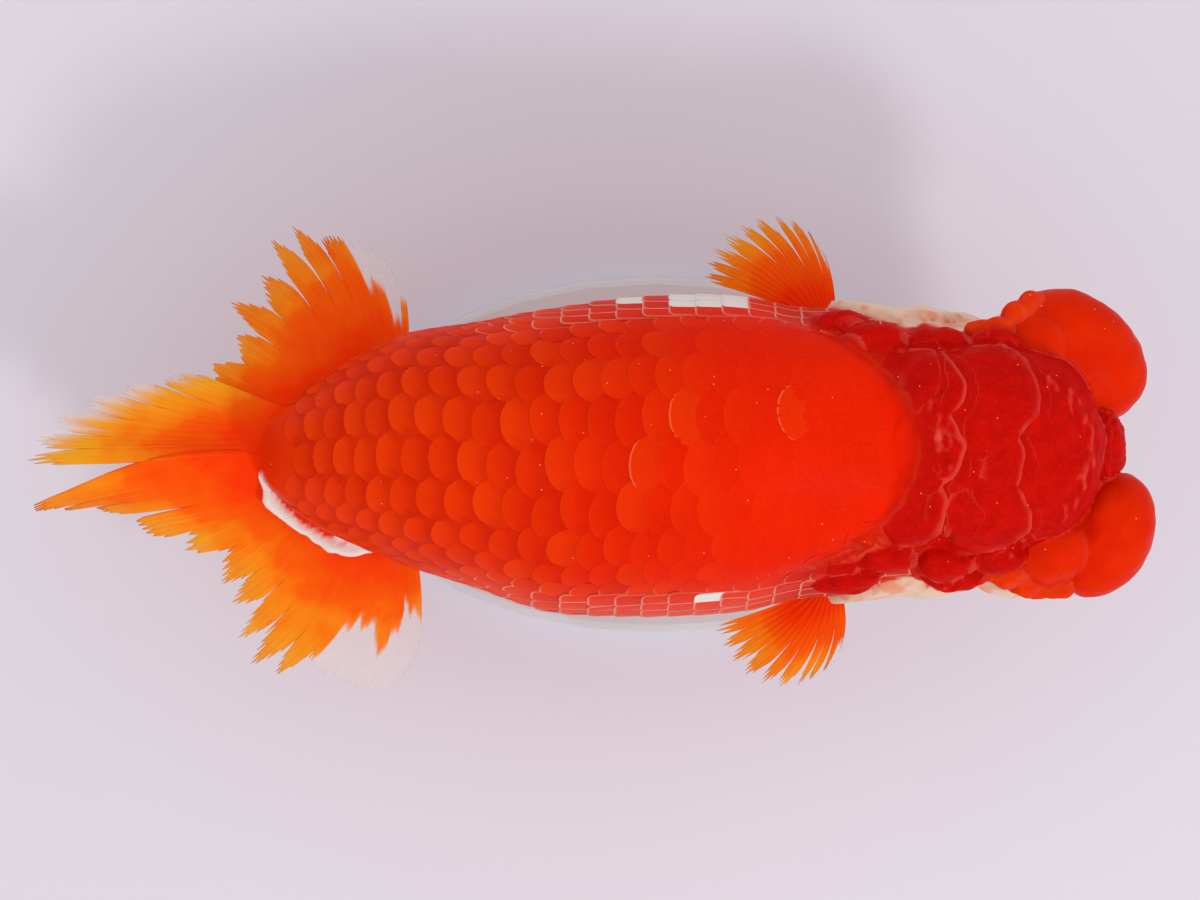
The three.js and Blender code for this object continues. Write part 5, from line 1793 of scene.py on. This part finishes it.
# %% Finish of the scales
LIGHT_SCALE, DARK_SCALE, RING_ORANGE = (0.88, 0.050, 0.002), (0.60, 0.010, 0.001), (0.92, 0.07, 0.004)
COVER_SHADOW_RED, SHADED_SCALE_PART, LIT_SCALE_PART = (0.46, 0.010, 0.0012), (0.60, 0.010, 0.0006), (0.90, 0.052, 0.001)
LIT_EDGE_ORANGE, EDGE_PINK = (0.88, 0.075, 0.006), (0.86, 0.33, 0.24)
FLASH_FACE, FLASH_EDGE = (0.95, 0.08, 0.003), (0.96, 0.36, 0.12)


def scale_finish():
    f = Finish("wet_scales")
    tone, edge, ramp, flash = (f.number(name) for name in ("tone", "edge", "ramp", "flash"))
    x = f.node("SeparateXYZ", {0: f.place()}).outputs
    front = f.spread(x[0], -0.014, 0.016, 1.0, 0.10)
    rear = f.spread(x[0], -0.010, -0.034)
    colour = f.mix(f.times(f.spread(tone, 0.5, 1, 0.0, 0.50), front), body_colour(f), LIGHT_SCALE)
    colour = f.mix(f.times(f.spread(tone, 0.5, 0.0, 0.0, 0.42), front), colour, DARK_SCALE)
    growth_rings = f.noise(1500, 2)
    colour = f.mix(f.spread(growth_rings, 0.45, 0.75, 0.0, 0.10), colour, RING_ORANGE)
    # Painted shade across each scale: darker where the next one covers it, lighter towards its free edge.
    swell = f.mix(f.spread(ramp, 0.05, 0.85), SHADED_SCALE_PART, LIT_SCALE_PART)
    colour = f.mix(f.times(front, f.spread(rear, 0, 1, 0.20, 0.36)), colour, swell)
    # Painted highlight along the free edge of the scales.
    painted_edge_light = f.times(f.times(f.spread(edge, 0.25, 0.9), front), f.spread(rear, 0, 1, 0.11, 0.04))
    colour = f.mix(painted_edge_light, colour, LIT_EDGE_ORANGE)
    on_flank = f.spread(f.number("flank"), 0.25, 0.7)
    # Painted shadow beside the edges of the scales that cover this one, left off on the flank.
    groove = f.times(f.times(f.number("groove"), f.spread(rear, 0, 1, 0.12, 0.30)), f.rest(on_flank))
    colour = f.mix(f.times(groove, front), colour, COVER_SHADOW_RED)
    pink = f.times(f.spread(edge, 0.45, 0.85), on_flank)
    colour = f.mix(f.times(pink, 0.9), colour, EDGE_PINK)
    # Painted highlights: the flashing scales get a lighter face and a pale bright edge.
    colour = f.mix(f.times(flash, 0.16), colour, FLASH_FACE)
    spark = f.times(flash, f.spread(edge, 0.55, 0.95))
    colour = f.mix(f.times(spark, 0.36), colour, FLASH_EDGE)
    colour = f.mix(f.number("pale"), colour, CREAM)
    colour = f.mix(f.number("bare"), colour, BARE_WHITE)
    # Painted glints: a few tiny bright dots.
    colour = f.mix(f.times(painted_glints(f), 0.6), colour, GLINT_WHITE)
    normal = f.bump(f.noise(2200, 2), 0.25, 0.06, f.bump(growth_rings, 0.2, 0.1))
    f.set(Base_Color=colour, Roughness=0.38, Normal=normal, Specular_IOR_Level=GLOSS)
    return f.material


wet_scales = scale_finish()
print(len(wet_scales.node_tree.nodes), "nodes in the finish of the scales")

# %% [markdown]
# A fin is red at its root and turns orange, then yellow towards the edge. Light passes the web,
# so it is given some transparency, more where the colour stops. The forked ridges tint the
# colour in fine streaks.

# %% Finish of the fins
ROOT_RED, FIN_ORANGE, FIN_YELLOW = (0.93, 0.040, 0.0015), (0.93, 0.13, 0.003), (0.92, 0.37, 0.012)
STREAK_YELLOW, CLEAR_WEB = (0.92, 0.44, 0.06), (0.84, 0.70, 0.60)


def fin_finish(name, tip_heat):
    f = Finish(name)
    along, across = f.number("along"), f.number("across")
    heat = f.math("ADD", f.times(along, tip_heat), f.spread(f.noise(160, 3), 0.3, 0.7, -0.12, 0.12))
    colour = f.mix(f.spread(heat, 0.20, 0.62), ROOT_RED, FIN_ORANGE)
    colour = f.mix(f.spread(heat, 0.55, 0.98), colour, FIN_YELLOW)
    vector = f.node("CombineXYZ", {0: f.times(across, 14.0), 1: along}).outputs[0]
    streak = f.times(f.spread(f.noise(2.0, 3, vector), 0.55, 0.75), f.spread(along, 0.35, 0.8))
    colour = f.mix(f.times(streak, 0.45), colour, STREAK_YELLOW)
    colour = f.mix(f.number("colour"), CLEAR_WEB, colour)
    ridge = f.spread(f.number("streak"), -1, 1)
    thin = f.times(f.spread(along, 0.72, 1.02), f.rest(f.times(ridge, 0.8)))
    alpha = f.blend(f.number("colour"), f.blend(ridge, 0.08, 0.15), f.rest(f.times(thin, 0.42)))
    f.set(Base_Color=colour, Alpha=alpha, Roughness=0.42, Specular_IOR_Level=GLOSS,
          Normal=f.bump(f.noise(1800, 2), 0.2, 0.08))
    return f.material


fin_finishes = {fin: fin_finish(fin + "_finish", note_for(fin)["tip_heat"]) for fin in RAYS}
print(len(fin_finishes), "finishes for fins")

# %% [markdown]
# The iris is a thin metallic ring with fine flecks around a black pupil. The clear dome over it is
# the one glassy thing on the fish.

# %% Finish of the eyes
IRIS_BROWN, IRIS_GOLD, IRIS_RIM = (0.62, 0.30, 0.05), (0.86, 0.62, 0.22), (0.30, 0.05, 0.01)
PUPIL_RING, PUPIL_BLACK, DOME_TINT = (0.25, 0.10, 0.02), (0.004, 0.003, 0.003), (0.02, 0.02, 0.025)


def iris_finish():
    f = Finish("iris")
    axis = f.number("from_axis")
    flecks = f.noise(1400, 4)
    gold = f.mix(f.spread(flecks, 0.35, 0.7), IRIS_BROWN, IRIS_GOLD)
    colour = f.mix(f.spread(axis, IRIS - 0.04, IRIS + 0.04), gold, IRIS_RIM)
    colour = f.mix(f.spread(axis, PUPIL + 0.02, PUPIL + 0.06, 1, 0), colour, PUPIL_RING)
    colour = f.mix(f.spread(axis, PUPIL - 0.02, PUPIL, 1, 0), colour, PUPIL_BLACK)
    shine = f.spread(axis, PUPIL, PUPIL + 0.03, 0.0, 0.65)
    f.set(Base_Color=colour, Metallic=shine, Roughness=0.34, Normal=f.bump(flecks, 0.3, 0.08),
          Specular_IOR_Level=0.2, Coat_Weight=0.5, Coat_Roughness=0.04)
    return f.material


def dome_finish():
    f = Finish("clear_dome")
    smear = f.noise(300, 2)
    f.set(Base_Color=DOME_TINT, Alpha=0.08, Roughness=f.spread(smear, 0.3, 0.7, 0.02, 0.05),
          IOR=1.38, Specular_IOR_Level=0.5)
    return f.material


iris, clear_dome = iris_finish(), dome_finish()
print("finishes of the eye:", iris.name, clear_dome.name)

# %% [markdown]
# The stand is a plain painted oval plate and two brushed rods. Paint has a faint orange peel,
# and brushing runs round a rod as it turns.

# %% Finish of the stand
PAINT_DARK, PAINT_LIGHT = (0.60, 0.585, 0.615), (0.66, 0.645, 0.675)
STEEL_DARK, STEEL_LIGHT = (0.46, 0.47, 0.49), (0.62, 0.63, 0.65)


def plate_finish():
    f = Finish("stand_paint")
    cloud = f.noise(60, 4)
    colour = f.mix(f.spread(cloud, 0.3, 0.7), PAINT_DARK, PAINT_LIGHT)
    f.set(Base_Color=colour, Roughness=f.spread(cloud, 0.2, 0.8, 0.42, 0.55),
          Normal=f.bump(f.noise(1200, 2), 0.15, 0.05))
    return f.material


def rod_finish():
    f = Finish("brushed_rod")
    stretched = f.node("Mapping", {"Vector": f.place(), "Scale": (300, 300, 9000)}).outputs[0]
    lines = f.noise(1.0, 3, stretched)
    colour = f.mix(f.spread(lines, 0.3, 0.7), STEEL_DARK, STEEL_LIGHT)
    f.set(Base_Color=colour, Metallic=1.0, Roughness=f.spread(lines, 0.3, 0.7, 0.24, 0.38),
          Normal=f.bump(lines, 0.2, 0.02))
    return f.material


stand = {"stand_base": plate_finish(), "stand_rod_front": rod_finish(), "stand_rod_rear": rod_finish()}
for node, finish in stand.items():
    frame["nodes"][node].data.materials.clear()
    frame["nodes"][node].data.materials.append(finish)
print(len(stand), "solids of the stand have a new finish")

# %% [markdown]
# ## Handing the pieces to the model
#
# Each new piece rides on the model's body and hides the solids it stands for. The stand's solids
# already have their true shape, so they stay and only get a better finish.

# %% Skin, scales, fins and eyes take their places
def dress(piece, finish, slot, *nodes):
    piece.data.materials.clear()
    piece.data.materials.append(finish)
    if nodes:
        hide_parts(*nodes)
    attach(piece, "root")


flesh = ["trunk", "tail_stalk", "head", "gill_cover_left", "gill_cover_right"]
flesh += [name for name in [*LOBES, *CROWN] if name in frame["nodes"]]
dress(skin, wet_skin, "head_growth", *flesh)
for piece in scale_pieces:
    dress(piece, wet_scales, "scaled_skin")
for fin, piece in fin_pieces.items():
    dress(piece, fin_finishes[fin], "fin", fin)
for name, piece in eye_pieces:
    dress(piece, iris, "eye", name)
for _, piece in dome_pieces:
    dress(piece, clear_dome, "eye")
print(1 + len(scale_pieces) + len(fin_pieces) + len(eye_pieces) + len(dome_pieces), "pieces in place")

# %% [markdown]
# ## Floor, light and camera
#
# The fish is looked at from straight above, as ranchu are judged. A long lens keeps the view
# flat. A soft lamp ahead of the fish on its right draws a pale shadow on its left, and a wide
# sky gives even light.

# %% Floor and backdrop light
def floor_finish():
    f = Finish("floor")
    cloud = f.noise(3, 2)
    colour = f.mix(f.spread(cloud, 0.3, 0.7), (0.70, 0.66, 0.74), (0.76, 0.72, 0.80))
    f.set(Base_Color=colour, Roughness=0.7, Specular_IOR_Level=0.1)
    return f.material


FLOOR_HALF = 1500.0
FLOOR_GAP = 0.2  # the floor lies this far under the base, so the two never flicker
SKY_STRENGTH = 0.86
corners = [(-FLOOR_HALF, -FLOOR_HALF, 0), (FLOOR_HALF, -FLOOR_HALF, 0),
           (FLOOR_HALF, FLOOR_HALF, 0), (-FLOOR_HALF, FLOOR_HALF, 0)]
floor = new_piece("floor", corners, [(0, 1, 2, 3)])
floor.location.z = cad_box[0][2] - FLOOR_GAP * MM
floor.data.materials.append(floor_finish())

world = bpy.data.worlds.new("sky")
world.use_nodes = True
world.node_tree.nodes["Background"].inputs["Color"].default_value = (1.0, 1.0, 1.0, 1)
world.node_tree.nodes["Background"].inputs["Strength"].default_value = SKY_STRENGTH
bpy.context.scene.world = world
print("floor", round(2 * FLOOR_HALF / 1000), "m wide, sky of strength", SKY_STRENGTH)

# %% [markdown]
# One lamp is enough. Its size decides how soft the shadows are: a disk of sixteen centimetres,
# a metre away, leaves the shadow of the body plain and blurs those of the scales.

# %% Lamp
def lamp(name, place_mm, aim_mm, size_mm, power, colour=(1, 1, 1)):
    data = bpy.data.lights.new(name, "AREA")
    data.shape = "DISK"
    data.size = size_mm * MM
    data.energy = power
    data.color = colour
    holder = bpy.data.objects.new(name, data)
    holder.location = Vector(place_mm) * MM
    holder.rotation_euler = (Vector(aim_mm) - Vector(place_mm)).to_track_quat("-Z", "Y").to_euler()
    bpy.context.scene.collection.objects.link(holder)


middle = [(l + h) / 2 / MM for l, h in zip(*cad_box)]
lamp("key", (470, -473, 849), middle, 160, 2.6, (1.0, 0.99, 0.97))
print("lamps aim at", [round(v) for v in middle])

# %% [markdown]
# The camera stands ninety centimetres above the widest line of the flanks. How much it sees is
# set there, in millimetres, and the focal length follows from it.

# %% Camera
SENSOR = 36.0
VIEW_WIDTH = 190.8  # how much of the plane at the flanks' widest line fills the view, mm
VIEW_CENTRE = (-9.54, 0.8)
DISTANCE = 900.0
flank_line = float(SECTIONS[9, 3])
camera_data = bpy.data.cameras.new("camera")
camera_data.sensor_width = SENSOR
camera_data.lens = SENSOR * DISTANCE / VIEW_WIDTH
camera_data.clip_end = 10
camera = bpy.data.objects.new("camera", camera_data)
camera.location = Vector((*VIEW_CENTRE, flank_line + DISTANCE)) * MM
bpy.context.scene.collection.objects.link(camera)
bpy.context.scene.camera = camera
bpy.context.scene.view_settings.view_transform = "Standard"
print("lens", round(camera_data.lens), "mm")

# %% [markdown]
# The finished pieces must stay inside the solid model's box, give or take a little.
